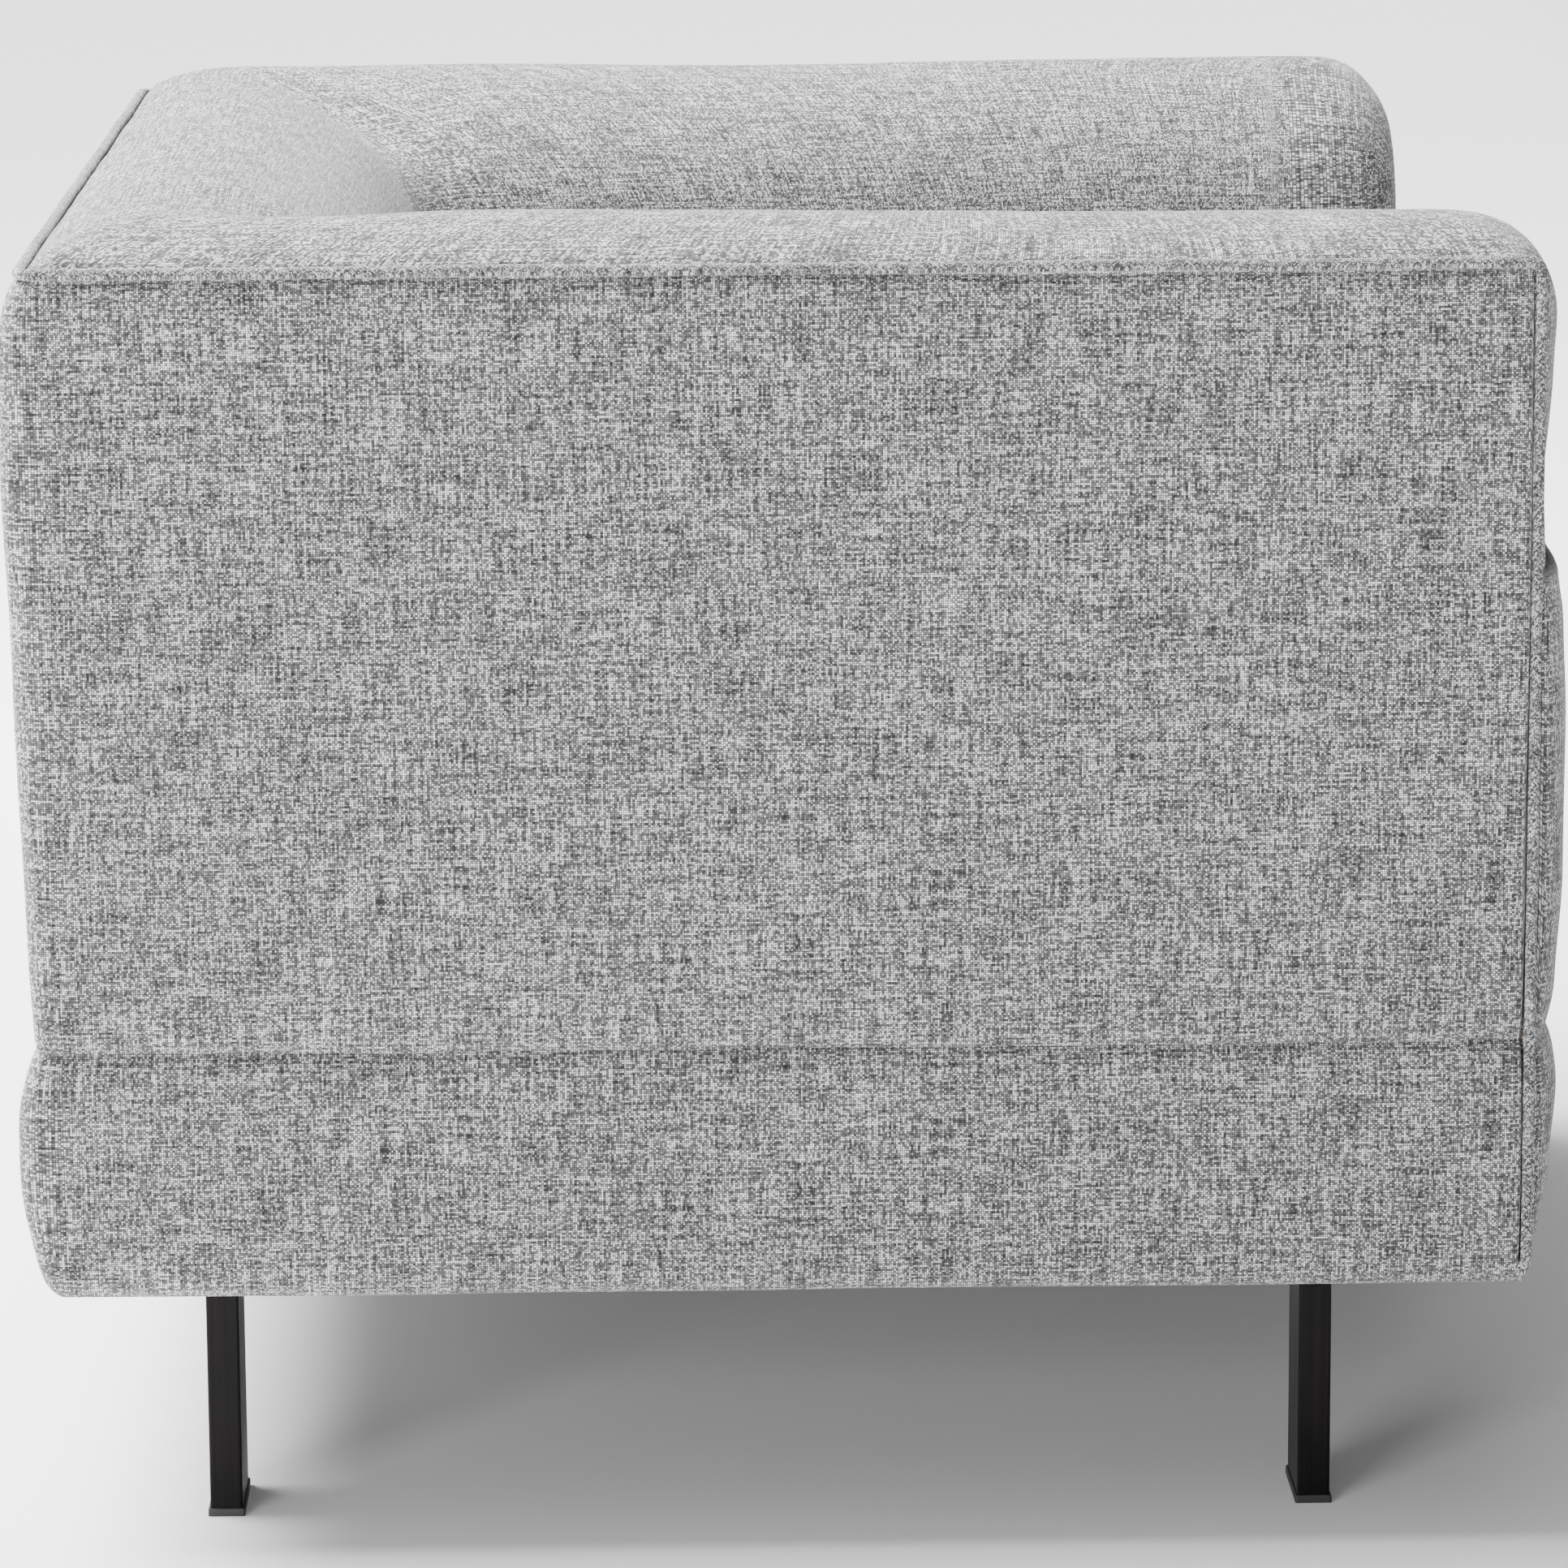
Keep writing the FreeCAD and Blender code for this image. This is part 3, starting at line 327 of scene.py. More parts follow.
STEPS = 12
front_rings = []
for step in range(STEPS + 1):
    angle = math.pi / 2 * step / STEPS
    ring = []
    for index, cut in enumerate(FULL_CUT):
        reach, inset, power = front_reach(index)
        p = Vector((ARM_OUT - cut.x, ARM_FACE + reach * (1 - math.sin(angle) ** power), cut.y))
        middle = Vector((SPINE[0], p.y, min(max(p.z, SPINE[1]), SPINE[2])))
        away = middle - p
        p += away.normalized() * inset * (1 - max(0.0, math.cos(angle)) ** power)
        p.y += lean(p.z) * math.sin(angle) ** 2
        ring.append(p)
    front_rings.append(ring)
for share in (0.12, 0.26, 0.42, 0.6, 0.78):
    ring = []
    for p in front_rings[STEPS]:
        middle = Vector((SPINE[0], p.y, min(max(p.z, SPINE[1]), SPINE[2])))
        q = p.lerp(middle, share)
        q.y = ARM_FACE + lean(q.z) - 0.8 * MM * math.sin(share * math.pi / 2)
        ring.append(q)
    front_rings.append(ring)
left = list(reversed(front_rings)) + rows
mirrored = [[Vector((-p.x, p.y, p.z)) for p in ring] for ring in reversed(left[:-1])]
face = len(front_rings) - STEPS // 2
roll = skin("rolled_arms_and_back", left + mirrored, (face, len(left + mirrored) - 1 - face))
print("rings", len(left + mirrored))

# %% [markdown]
# The back's inside and the arms' insides belly out a little over their foam, and the cloth dips where
# the two rolls meet in the corner. The seam against the seat draws the foot of the wall in.

# %% Rolled arms and back: bellies and corner dents
for v in roll.data.vertices:
    p = v.co
    inner = ease((ROLL_Z + 60 * MM - p.z) / (60 * MM)) * ease((p.z - SEAT_TOP) / (45 * MM))
    if p.y > BACK_IN - 2 * MM and abs(p.x) < ARM_IN:
        p.y -= 5 * MM * inner * ease(1 - (abs(p.x) / ARM_IN) ** 3)
    corner = Vector((abs(p.x) - ARM_IN - 45 * MM, p.y - BACK_IN - 45 * MM))
    dent = math.exp(-(corner.length_squared) / (52 * MM) ** 2)
    p.z -= 12 * MM * dent * ease((p.z - ROLL_Z) / (60 * MM))
    if p.x < 0:
        p.z -= 3.5 * MM * ease((0.12 - p.y) / 0.4) * ease((p.z - ROLL_Z) / (90 * MM))
    sag = ease(1 - abs(p.y + 20 * MM) / 0.32) if abs(p.x) > ARM_IN else 0.0
    p.z -= 1.5 * MM * sag * ease((p.z - ROLL_Z) / (90 * MM))
settle(roll, swell=1.3, ripple=1.1, seams=((SEAT_TOP, 28 * MM),), seed=3)
finish_modifier(roll, "SUBSURF", levels=1, render_levels=1)
soft_piece(
    roll, "arm_cover_left", "arm_cover_right", "back_cover", "arm_top_foam_left", "arm_top_foam_right",
    "back_top_foam", "arm_front_foam_left", "arm_front_foam_right", "arm_inner_foam_left",
    "arm_inner_foam_right", "back_inner_foam",
)

# %% [markdown]
# The seat is tight: one cover runs over the foam, rounds over the front edge and goes down the front to
# the pinched seam. Below the arms the front is the chair's full width, so its cut changes just under
# each arm, out of sight. The rings go across the chair from side to side.

# %% Tight seat
FACE, NOSE, TOP, BACKWARD = 26, 10, 44, 30
FACE_BULGE = ((0.0, 0.0), (0.10, 0.55), (0.35, 0.88), (0.68, 1.0), (0.9, 0.8), (1.0, 0.45))
FACE_FOOT = TIER - LAP
SEAT_SWELL = 25.5 * MM  # how proud of the front seam the fullest part stands
SIDE_SPAN = 28 * MM  # how fast a front swells, going in from the chair's side
TUCK_IN = 7 * MM  # the seat's side, hidden under each arm
BACK_TUCK = 9 * MM  # the seat's rear edge, hidden under the back


def side_round(x):
    """How far a front has swelled at x: 0 at the chair's side, 1 well inside."""
    return math.sqrt(max(0.0, 1 - math.exp(-(ARM_OUT - abs(x)) / SIDE_SPAN)))


def front_inner(x):
    """How far back a front's padding goes. Outside the frame it stops at the wrapped panels' end."""
    return PANEL_FRONT - 0.5 * MM if abs(x) > SIDE - 10.5 * MM else PADDING_BACK


def seat_ring(x):
    """The cut across the seat at x, from the foot of the front, over the top and back underneath."""
    inside = ease((ARM_IN + TUCK_IN - abs(x)) / TUCK_IN)
    nose = (7 + 21 * inside) * MM
    top = SEAT_TOP - (1 - inside) * 3 * MM
    points = []
    for i in range(FACE + 1):
        share = i / FACE
        z = FACE_FOOT + (top - nose - FACE_FOOT) * share
        bulge = table(share, FACE_BULGE) + inside * 0.2 * ease((share - 0.8) / 0.2)
        y = FRONT_SEAM - SEAT_SWELL * (0.56 + 0.44 * bulge) * side_round(x)
        points.append(Vector((x, y, z)))
    face_y = points[-1].y
    for i in range(1, NOSE + 1):
        angle = math.pi / 2 * i / NOSE
        y = face_y + nose * (1 - math.cos(angle))
        points.append(Vector((x, y, top - nose + nose * math.sin(angle))))
    start = points[-1].y
    stop = PADDING_BACK + inside * (BACK_IN + BACK_TUCK - FRAME_FRONT)
    for i in range(1, TOP + 1):
        y = start + (stop - start) * i / TOP
        middle = ease((stop - y) / (90 * MM)) * ease((y - start) / (120 * MM))
        rise = 9 * MM * max(0.0, 1 - (x / ARM_IN) ** 4) * middle
        sink = 8 * MM * (1 - ease((stop - BACK_TUCK - y) / (16 * MM)))
        sides = 8 * MM * (1 - ease((ARM_IN - abs(x)) / (18 * MM)))
        points.append(Vector((x, y, top + inside * (rise - sink) - inside * sides)))
    deep = SEAT_TOP - (40 + 24 * inside) * MM
    inner = front_inner(x)
    back = run(Vector((x, stop, deep)), Vector((x, inner, deep)), BACKWARD - 10)
    down = run(Vector((x, inner, deep)), Vector((x, inner, FACE_FOOT)), 10, last=True)
    return points + back + down


across = []
x = -ARM_OUT
while x < ARM_OUT:
    across.append(x)
    close = abs(abs(x) - ARM_IN) < 12 * MM or ARM_OUT - abs(x) < 22 * MM
    x += (2.5 if close else 9) * MM
across.append(ARM_OUT)
across[0] += 0.2 * MM
across[-1] -= 0.2 * MM
seat = skin("tight_seat", [seat_ring(x) for x in across])
settle(seat, swell=1.2, ripple=1.2, seams=((TIER, 22 * MM), (SEAT_TOP, 12 * MM)), seed=11)
finish_modifier(seat, "SUBSURF", levels=1, render_levels=1)
soft_piece(seat, "seat_cover", "seat_front_foam", "seat_foam")

# %% [markdown]
# The base band is wrapped on three sides and has its own front. Its front leans back towards the floor,
# and both are drawn into the seam above. The front is made of rings across the chair.

# %% Base band: front
BAND_SWELL = 23 * MM
BAND_FACE = ((0.0, -0.1), (0.08, 0.35), (0.2, 0.6), (0.42, 0.85), (0.75, 1.0), (0.9, 0.88), (1.0, 0.6))


def band_ring(x):
    points = []
    for i in range(19):
        share = i / 18
        z = FLOOR + (TIER + LAP - FLOOR) * share
        y = FRONT_SEAM - BAND_SWELL * table(share, BAND_FACE) * side_round(x)
        points.append(Vector((x, y, z)))
    inner = front_inner(x)
    over = run(points[-1], Vector((x, inner, TIER + LAP)), 5)[1:]
    down = run(Vector((x, inner, TIER + LAP)), Vector((x, inner, FLOOR)), 8)
    under = run(Vector((x, inner, FLOOR)), points[0], 4)
    return points + over + down + under


band_front = skin("band_front", [band_ring(x) for x in across])
settle(band_front, swell=0.9, ripple=1.1, seams=((TIER, 20 * MM),), seed=21)
finish_modifier(band_front, "SUBSURF", levels=1, render_levels=1)
soft_piece(band_front, "band_front_cover", "band_front_pad")

# %% [markdown]
# The outside is one length of cloth wrapped round the sides and the rear, so the rear corners have no
# seam and are softly rounded. It bellies out behind the rolled back, and the pinched seam splits it
# into a tall panel above and the band below. Both are swept round the same three sides.

# %% Outside panels and band: the path round three sides
CORNER = 13 * MM
SIDE_STEPS, CORNER_STEPS, REAR_STEPS = 72, 10, 84
THICK = 9.5 * MM  # wadding and cover together
STITCH, STITCH_SPAN = 4.5 * MM, 1.8 * MM  # the fine groove that the stitches pull
DRAW_SPAN = 9 * MM  # the broader hollow along the same seam


def round_path():
    """Points round the outside from the right front to the left front, with their outward headings."""
    path = []
    rear = REAR
    for i in range(SIDE_STEPS):
        share = i / SIDE_STEPS
        share = share ** 1.5 / (share ** 1.5 + (1 - share))
        y = PANEL_FRONT + (rear - CORNER - PANEL_FRONT) * share
        path.append((Vector((-SIDE, y, 0)), Vector((-1, 0, 0))))
    for i in range(CORNER_STEPS + 1):
        angle = math.pi / 2 * i / CORNER_STEPS
        heading = Vector((-math.cos(angle), math.sin(angle), 0))
        path.append((Vector((-SIDE + CORNER, rear - CORNER, 0)) + heading * CORNER, heading))
    for i in range(1, REAR_STEPS // 2 + 1):
        path.append((Vector((-(SIDE - CORNER) * (1 - 2 * i / REAR_STEPS), rear, 0)), Vector((0, 1, 0))))
    twins = [(Vector((-p.x, p.y, 0)), Vector((-h.x, h.y, 0))) for p, h in reversed(path[:-1])]
    return path + twins


OUTSIDE_PATH = round_path()
print("places round the outside", len(OUTSIDE_PATH))


def crowded(share):
    """The same 0 to 1, with the steps close together near both ends."""
    return share ** 1.5 / (share ** 1.5 + (1 - share) ** 1.5)


def wrapped(name, low, high, levels, shape):
    """A wrapped panel: shape gives how far out a point stands, by height, heading and place."""
    rings = []
    for place, heading in OUTSIDE_PATH:
        face = []
        for i in range(levels + 1):
            z = low + (high - low) * crowded(i / levels)
            out = shape(z, heading, place)
            face.append(Vector((place.x, place.y, z)) + heading * out)
        inside = []
        for i in range(levels // 4 + 1):
            z = high + (low - high) * i / (levels // 4)
            inside.append(Vector((place.x, place.y, z)) - heading * THICK)
        rings.append(face + inside)
    return skin(name, rings)


def front_tuck(place):
    return -2.6 * MM * math.exp(-(place.y - PANEL_FRONT) / (3.5 * MM))


def tall_shape(z, heading, place):
    up = max(0.0, z - TIER)
    fine = STITCH * math.exp(-up / STITCH_SPAN) * (1 - 0.4 * heading.y ** 2)
    broad = (2.8 * math.exp(-up / DRAW_SPAN) + 1.2 * math.exp(-up / (30 * MM))) * MM
    groove = -fine - broad * (1 - 0.8 * heading.y ** 2)
    top = -6 * MM * math.exp(-(PANEL_TOP - z) / (2.2 * MM))
    rear = table(z, REAR_BELLY) * heading.y ** 2
    middle = 1.5 * MM * math.sin(math.pi * (z - TIER) / (PANEL_TOP - TIER))
    return groove + top + middle + rear + front_tuck(place)


REAR_BELLY = (
    (TIER, 0.0), (0.30, 1.5 * MM), (0.43, 4 * MM),
    (0.54, 8 * MM), (0.59, 8 * MM), (PANEL_TOP, 2.5 * MM),
)
outside = wrapped("outside_panels", TIER - LAP, PANEL_TOP, 46, tall_shape)
settle(outside, swell=0.7, ripple=1.3, seams=((TIER, 24 * MM),), seed=31)
finish_modifier(outside, "SUBSURF", levels=1, render_levels=1)
soft_piece(outside, "outer_cover", "side_wadding_left", "side_wadding_right", "back_wadding", fill=0.95)

# %% Base band: sides and rear
def band_shape(z, heading, place):
    down = max(0.0, TIER - z)
    fine = STITCH * math.exp(-down / STITCH_SPAN) * (1 - 0.4 * heading.y ** 2)
    groove = -fine - 4 * MM * math.exp(-down / DRAW_SPAN) * (1 - 0.8 * heading.y ** 2)
    hem = -9 * MM * math.exp(-(z - FLOOR) / (5 * MM))
    belly = 1.0 * MM * math.sin(math.pi * (z - FLOOR) / (TIER - FLOOR))
    rear = 8 * MM * ease((z - FLOOR) / (60 * MM)) * ease((TIER + 12 * MM - z) / (45 * MM)) * heading.y ** 2
    return groove + hem + belly + rear + front_tuck(place)


band = wrapped("band_sides_and_rear", FLOOR, TIER + LAP, 20, band_shape)
settle(band, swell=0.7, ripple=1.2, seams=((TIER, 20 * MM),), seed=41)
finish_modifier(band, "SUBSURF", levels=1, render_levels=1)
soft_piece(band, "band_cover", "band_side_pads", "band_rear_pad", fill=0.95)

# %% [markdown]
# Piping is a cord sewn in a strip of the same cloth. It starts at the bottom of each front edge, runs
# up and over the arm with a small round corner, and goes on round the back. One curve follows the seam,
# and a round bevel gives it its thickness.

# %% Piping
def piping_line():
    """Points from the right front foot, over the arm and round the back to the left front foot."""
    bend, turn = 6 * MM, 9 * MM
    points = [
        Vector((PIPE_X - 4 * MM, PIPE_FRONT + 4 * MM, FLOOR + 2 * MM)),
        Vector((PIPE_X, PIPE_FRONT, FLOOR + 12 * MM)),
        Vector((PIPE_X, PIPE_FRONT, PIPE_TOP - bend)),
    ]
    for i in range(1, 6):
        angle = math.pi / 2 * i / 6
        back, drop = bend * (1 - math.cos(angle)), bend * (1 - math.sin(angle))
        points.append(Vector((PIPE_X, PIPE_FRONT + back, PIPE_TOP - drop)))
    rear = REAR - PIPE
    points.append(Vector((PIPE_X, PIPE_FRONT + bend, PIPE_TOP)))
    points.append(Vector((PIPE_X, rear - turn, PIPE_TOP)))
    for i in range(1, 6):
        angle = math.pi / 2 * i / 6
        inward, short = turn * (1 - math.cos(angle)), turn * (1 - math.sin(angle))
        points.append(Vector((PIPE_X - inward, rear - short, PIPE_TOP)))
    points.append(Vector((PIPE_X - turn, rear, PIPE_TOP)))
    dense = []
    for a, b in zip(points, points[1:]):
        steps = max(1, round((b - a).length / (12 * MM)))
        dense += run(a, b, steps)
    dense.append(points[-1])
    dense += run(points[-1], Vector((0, rear, PIPE_TOP)), 34)[1:]
    whole = dense + [Vector((0, rear, PIPE_TOP))] + [Vector((-p.x, p.y, p.z)) for p in reversed(dense)]
    return [p + Vector((lump(p, 14, 50), 0, lump(p, 17, 60))) * 0.7 * MM for p in whole]


line = piping_line()
curve = bpy.data.curves.new("piping", "CURVE")
curve.dimensions = "3D"
curve.bevel_depth = PIPE * 1.12
curve.bevel_resolution = 3
curve.use_fill_caps = True
spline = curve.splines.new("POLY")
spline.points.add(len(line) - 1)
for point, place in zip(spline.points, line):
    point.co = (*place, 1)
piping_curve = bpy.data.objects.new("piping_curve", curve)
bpy.context.scene.collection.objects.link(piping_curve)
bpy.context.view_layer.update()
evaluated = piping_curve.evaluated_get(bpy.context.evaluated_depsgraph_get())
piping_mesh = bpy.data.meshes.new_from_object(evaluated)
bpy.data.objects.remove(piping_curve)
piping = bpy.data.objects.new("piping", piping_mesh)
bpy.context.scene.collection.objects.link(piping)
bm = bmesh.new()
bm.from_mesh(piping_mesh)
bmesh.ops.remove_doubles(bm, verts=bm.verts, dist=1e-5)
bmesh.ops.recalc_face_normals(bm, faces=bm.faces)
layer = bm.loops.layers.uv.new("cloth")
for f in bm.faces:
    f.smooth = True
    for loop in f.loops:
        p = loop.vert.co
        loop[layer].uv = (p.y + p.x + p.z, p.z - p.y + p.x)
bm.to_mesh(piping_mesh)
bm.free()
soft_piece(piping, "arm_piping_left", "arm_piping_right", "back_piping", fill=1.0)

# %% [markdown]
# Underneath, a thin black cloth is stapled to the base rails to keep dust out. It has a window for each
# leg plate and sags by a few millimetres between the rails.

# %% Dust cloth
dust_low, dust_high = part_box("dust_cover")
plates = [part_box(f"leg_{end}_{side}") for end in ("front", "rear") for side in ("left", "right")]
xs, ys = {dust_low[0], dust_high[0]}, {dust_low[1], dust_high[1]}
PLATE_GAP = 1 * MM
for low, high in plates:
    xs |= {low[0] - PLATE_GAP, high[0] + PLATE_GAP}
    ys |= {low[1] - PLATE_GAP, high[1] + PLATE_GAP}


def fill_in(values, step):
    values = sorted(values)
    out = []
    for a, b in zip(values, values[1:]):
        steps = max(1, round((b - a) / step))
        out += [a + (b - a) * i / steps for i in range(steps)]
    return out + [values[-1]]


xs, ys = fill_in(xs, 24 * MM), fill_in(ys, 24 * MM)
bm = bmesh.new()
layer = bm.loops.layers.uv.new("cloth")
grid = {}
for i, x in enumerate(xs):
    for j, y in enumerate(ys):
        edge = min(x - dust_low[0], dust_high[0] - x, y - dust_low[1], dust_high[1] - y)
        near = min(math.hypot(x - (a[0] + b[0]) / 2, y - (a[1] + b[1]) / 2) for a, b in plates)
        sag = 2.5 * MM * ease(edge / 0.15) * ease((near - 0.07) / 0.12)
        grid[i, j] = bm.verts.new((x, y, dust_high[2] - 0.6 * MM - sag))
for i in range(len(xs) - 1):
    for j in range(len(ys) - 1):
        cx, cy = (xs[i] + xs[i + 1]) / 2, (ys[j] + ys[j + 1]) / 2
        if any(
            a[0] - PLATE_GAP < cx < b[0] + PLATE_GAP and a[1] - PLATE_GAP < cy < b[1] + PLATE_GAP
            for a, b in plates
        ):
            continue
        f = bm.faces.new((grid[i, j], grid[i, j + 1], grid[i + 1, j + 1], grid[i + 1, j]))
        for loop in f.loops:
            loop[layer].uv = (loop.vert.co.x, loop.vert.co.y)
loose = [v for v in bm.verts if not v.link_faces]
bmesh.ops.delete(bm, geom=loose, context="VERTS")
cloth_area = sum(f.calc_area() for f in bm.faces)
dust_mesh = bpy.data.meshes.new("dust_cloth")
bm.to_mesh(dust_mesh)
bm.free()
dust = bpy.data.objects.new("dust_cloth", dust_mesh)
bpy.context.scene.collection.objects.link(dust)
finish_modifier(dust, "SOLIDIFY", thickness=0.5 * MM, offset=1.0)
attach(dust, "root")
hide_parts("dust_cover")

# %% [markdown]
# Finishes are built from maths on coordinates. A small wrapper lets that maths be written as plain
# expressions, and one method makes every other node.

# %% Helper: shader maths
class Value:
    """One socket of a material's nodes, with the usual signs."""

    def __init__(self, tree, socket):
        self.tree = tree
        self.socket = socket

    def node(self, kind, settings=None, **inputs):
        made = self.tree.nodes.new(kind)
        for key, value in (settings or {}).items():
            setattr(made, key, value)
        for key, value in inputs.items():
            place = made.inputs[int(key[1:])] if key[0] == "i" and key[1:].isdigit() else made.inputs[key]
            if isinstance(value, Value):
                self.tree.links.new(value.socket, place)
            else:
                place.default_value = value
        return made

    def out(self, made, name=0):
        return Value(self.tree, made.outputs[name])

    def maths(self, operation, other=0.0, clamp=False):
        settings = {"operation": operation, "use_clamp": clamp}
        return self.out(self.node("ShaderNodeMath", settings, i0=self, i1=other))

    def __add__(self, other):
        return self.maths("ADD", other)

    __radd__ = __add__

    def __mul__(self, other):
        return self.maths("MULTIPLY", other)

    __rmul__ = __mul__

    def __sub__(self, other):
        return self.maths("SUBTRACT", other)

    def __rsub__(self, other):
        return (self * -1.0).maths("ADD", other)

    def __truediv__(self, other):
        return self.maths("DIVIDE", other)

    def ramp(self, low, high):
        """0 below low, 1 above high, smooth between."""
        made = self.node("ShaderNodeMapRange", {"interpolation_type": "SMOOTHSTEP"}, Value=self)
        made.inputs["From Min"].default_value = low
        made.inputs["From Max"].default_value = high
        return self.out(made, "Result")

    def mix(self, low, high):
        """A colour between two, by this value."""
        made = self.node("ShaderNodeMix", {"data_type": "RGBA"}, i0=self, i6=low, i7=high)
        return self.out(made, 2)

    def stretch(self, x, y, z):
        made = self.node("ShaderNodeVectorMath", {"operation": "MULTIPLY"}, i0=self, i1=(x, y, z))
        return self.out(made)

    def noise(self, scale, detail=2.0, rough=0.5):
        made = self.node("ShaderNodeTexNoise", Vector=self, Scale=scale, Detail=detail, Roughness=rough)
        return self.out(made, "Fac")

    def cells(self):
        """A random value for each whole-number place."""
        made = self.node("ShaderNodeTexWhiteNoise", {"noise_dimensions": "3D"}, Vector=self)
        return self.out(made, "Value")


def finish_named(name, **shader):
    """A new material with its main shader's fixed values set."""
    material = bpy.data.materials.new(name)
    material.use_nodes = True
    main = material.node_tree.nodes["Principled BSDF"]
    for key, value in shader.items():
        main.inputs[key.replace("_", " ")].default_value = value
    return material, material.node_tree, main


def coordinates(tree, kind="Object"):
    if kind == "UV":
        made = tree.nodes.new("ShaderNodeUVMap")
        made.uv_map = "cloth"
        return Value(tree, made.outputs[0])
    made = tree.nodes.new("ShaderNodeTexCoord")
    return Value(tree, made.outputs[kind])


def feed(main, name, value):
    main.id_data.links.new(value.socket, main.inputs[name])


def bump(main, height, depth, strength=1.0):
    made = height.node("ShaderNodeBump", Height=height, Strength=strength, Distance=depth)
    main.id_data.links.new(made.outputs[0], main.inputs["Normal"])


# %% [markdown]
# The upholstery is a plain weave of mixed grey yarn, about nine threads to the centimetre. Two sine
# waves, one for the warp and one for the weft, cross in a bead for each thread that comes to the top,
# and the gaps between the beads are darkened with painted shade. Each bead has its own tone, darker
# and lighter lengths of yarn run both ways, and the cloth as a whole is slightly cloudy.

# %% Finish: grey woven cloth
def woven(name, dark, mid, light, pitch):
    """dark is painted shade in the gaps and the darkest yarn, mid and light are yarn. pitch is the width
    of two threads.
    """
    sheen = {"Sheen_Weight": 0.25, "Sheen_Roughness": 0.4}
    material, tree, main = finish_named(name, Roughness=0.9, IOR=1.4, **sheen)
    where = coordinates(tree, "UV")
    parts = where.node("ShaderNodeSeparateXYZ", i0=where)
    turn = 2 * math.pi / pitch
    wobble = coordinates(tree).noise(40.0, 2.0) * 1.6
    warp = where.out(parts, 0) * turn + wobble
    weft = where.out(parts, 1) * turn + wobble
    crossing = warp.maths("SINE") * weft.maths("SINE")
    over = crossing.ramp(-0.2, 0.2)
    bead = crossing.maths("ABSOLUTE").ramp(0.0, 0.4)
    place = warp.node(
        "ShaderNodeCombineXYZ", i0=(warp / math.pi).maths("FLOOR"), i1=(weft / math.pi).maths("FLOOR")
    )
    fleck = warp.out(place).cells().ramp(0.1, 0.9)
    yarn = 2 / pitch
    warp_shade = where.stretch(yarn * 0.8, 34.0, 1.0).noise(0.9, 1.0, 0.5).ramp(0.26, 0.74)
    weft_shade = where.stretch(34.0, yarn * 0.8, 1.0).noise(0.9, 1.0, 0.5).ramp(0.26, 0.74)
    shade = (warp_shade + weft_shade) * 0.38 + (over * warp_shade + (1 - over) * weft_shade) * 0.24
    cloud = coordinates(tree).noise(9.0, 3.0, 0.6)
    # The bead factor darkens the gaps between the threads: painted shade in those small hollows.
    tone = (fleck * 0.44 + shade * 0.56) * (bead * 0.72 + 0.28) + (cloud - 0.5) * 0.07
    low = tone.ramp(0.0, 0.5).mix(dark, mid)
    made = low.node("ShaderNodeMix", {"data_type": "RGBA"}, i0=tone.ramp(0.40, 0.95), i6=low, i7=light)
    feed(main, "Base Color", low.out(made, 2))
    feed(main, "Roughness", cloud * 0.14 + 0.82)
    bump(main, bead * 0.8 + shade * 0.3, 0.30 * MM, 0.8)
    return material


# The darkest colour is both the darkest yarn and the painted shade in the gaps between threads.
DARK_YARN_AND_GAP_SHADE = (0.007, 0.0072, 0.0075, 1)
YARN_MID = (0.125, 0.127, 0.129, 1)
YARN_LIGHT = (0.84, 0.84, 0.83, 1)
TWO_THREADS = 2.1 * MM
cloth = woven("grey_weave", DARK_YARN_AND_GAP_SHADE, YARN_MID, YARN_LIGHT, TWO_THREADS)
covered = (roll, seat, band_front, outside, band, piping)
for piece in covered:
    piece.data.materials.clear()
    piece.data.materials.append(cloth)
print("cloth on", len(covered), "pieces")

# %% [markdown]
# The legs are flat steel tube with a dark gunmetal finish, brushed along its length. The caps under
# them are black moulded plastic with a fine texture.

# %% Finishes: legs and caps
def brushed_dark():
    material, tree, main = finish_named("gunmetal", Metallic=0.6, Roughness=0.4, IOR=1.3)
    where = coordinates(tree)
    streak = where.stretch(900.0, 900.0, 5.0).noise(1.0, 3.0, 0.6)
    cloud = where.noise(30.0, 3.0, 0.5)
    tone = streak * 0.7 + cloud * 0.3
    deep, worn = (0.002, 0.0018, 0.0018, 1), (0.008, 0.0068, 0.0065, 1)
    feed(main, "Base Color", tone.ramp(0.3, 0.7).mix(deep, worn))
    feed(main, "Roughness", streak * 0.2 + cloud * 0.1 + 0.34)
    bump(main, streak, 0.03 * MM, 0.5)
    return material


def moulded_black():
    material, tree, main = finish_named("black_plastic", Roughness=0.55, IOR=1.46)
    grain = coordinates(tree).noise(1400.0, 2.0, 0.5)
    feed(main, "Base Color", grain.mix((0.012, 0.012, 0.012, 1), (0.03, 0.03, 0.03, 1)))
    feed(main, "Roughness", grain * 0.2 + 0.45)
    bump(main, grain, 0.05 * MM, 0.5)
    return material


# %% [markdown]
# Inside and underneath are timber, fibreboard, springs, foam and felt. They are nearly hidden, but each
# still has its own grain, so that the chair stays true when it is opened or seen from below.

# %% Finishes: timber, board, hardware and fillings
def sawn_timber():
    material, tree, main = finish_named("pale_hardwood", Roughness=0.65, IOR=1.45)
    where = coordinates(tree)
    bent = where.stretch(1.0, 7.0, 9.0).noise(3.0, 3.0, 0.5)
    rings = (bent * 60.0).maths("SINE") * 0.5 + 0.5
    pores = where.stretch(40.0, 500.0, 500.0).noise(1.0, 2.0, 0.5)
    tone = rings * 0.55 + pores * 0.45
    feed(main, "Base Color", tone.ramp(0.1, 0.9).mix((0.36, 0.22, 0.12, 1), (0.62, 0.44, 0.27, 1)))
    feed(main, "Roughness", pores * 0.3 + 0.5)
    bump(main, tone, 0.1 * MM, 0.4)
    return material


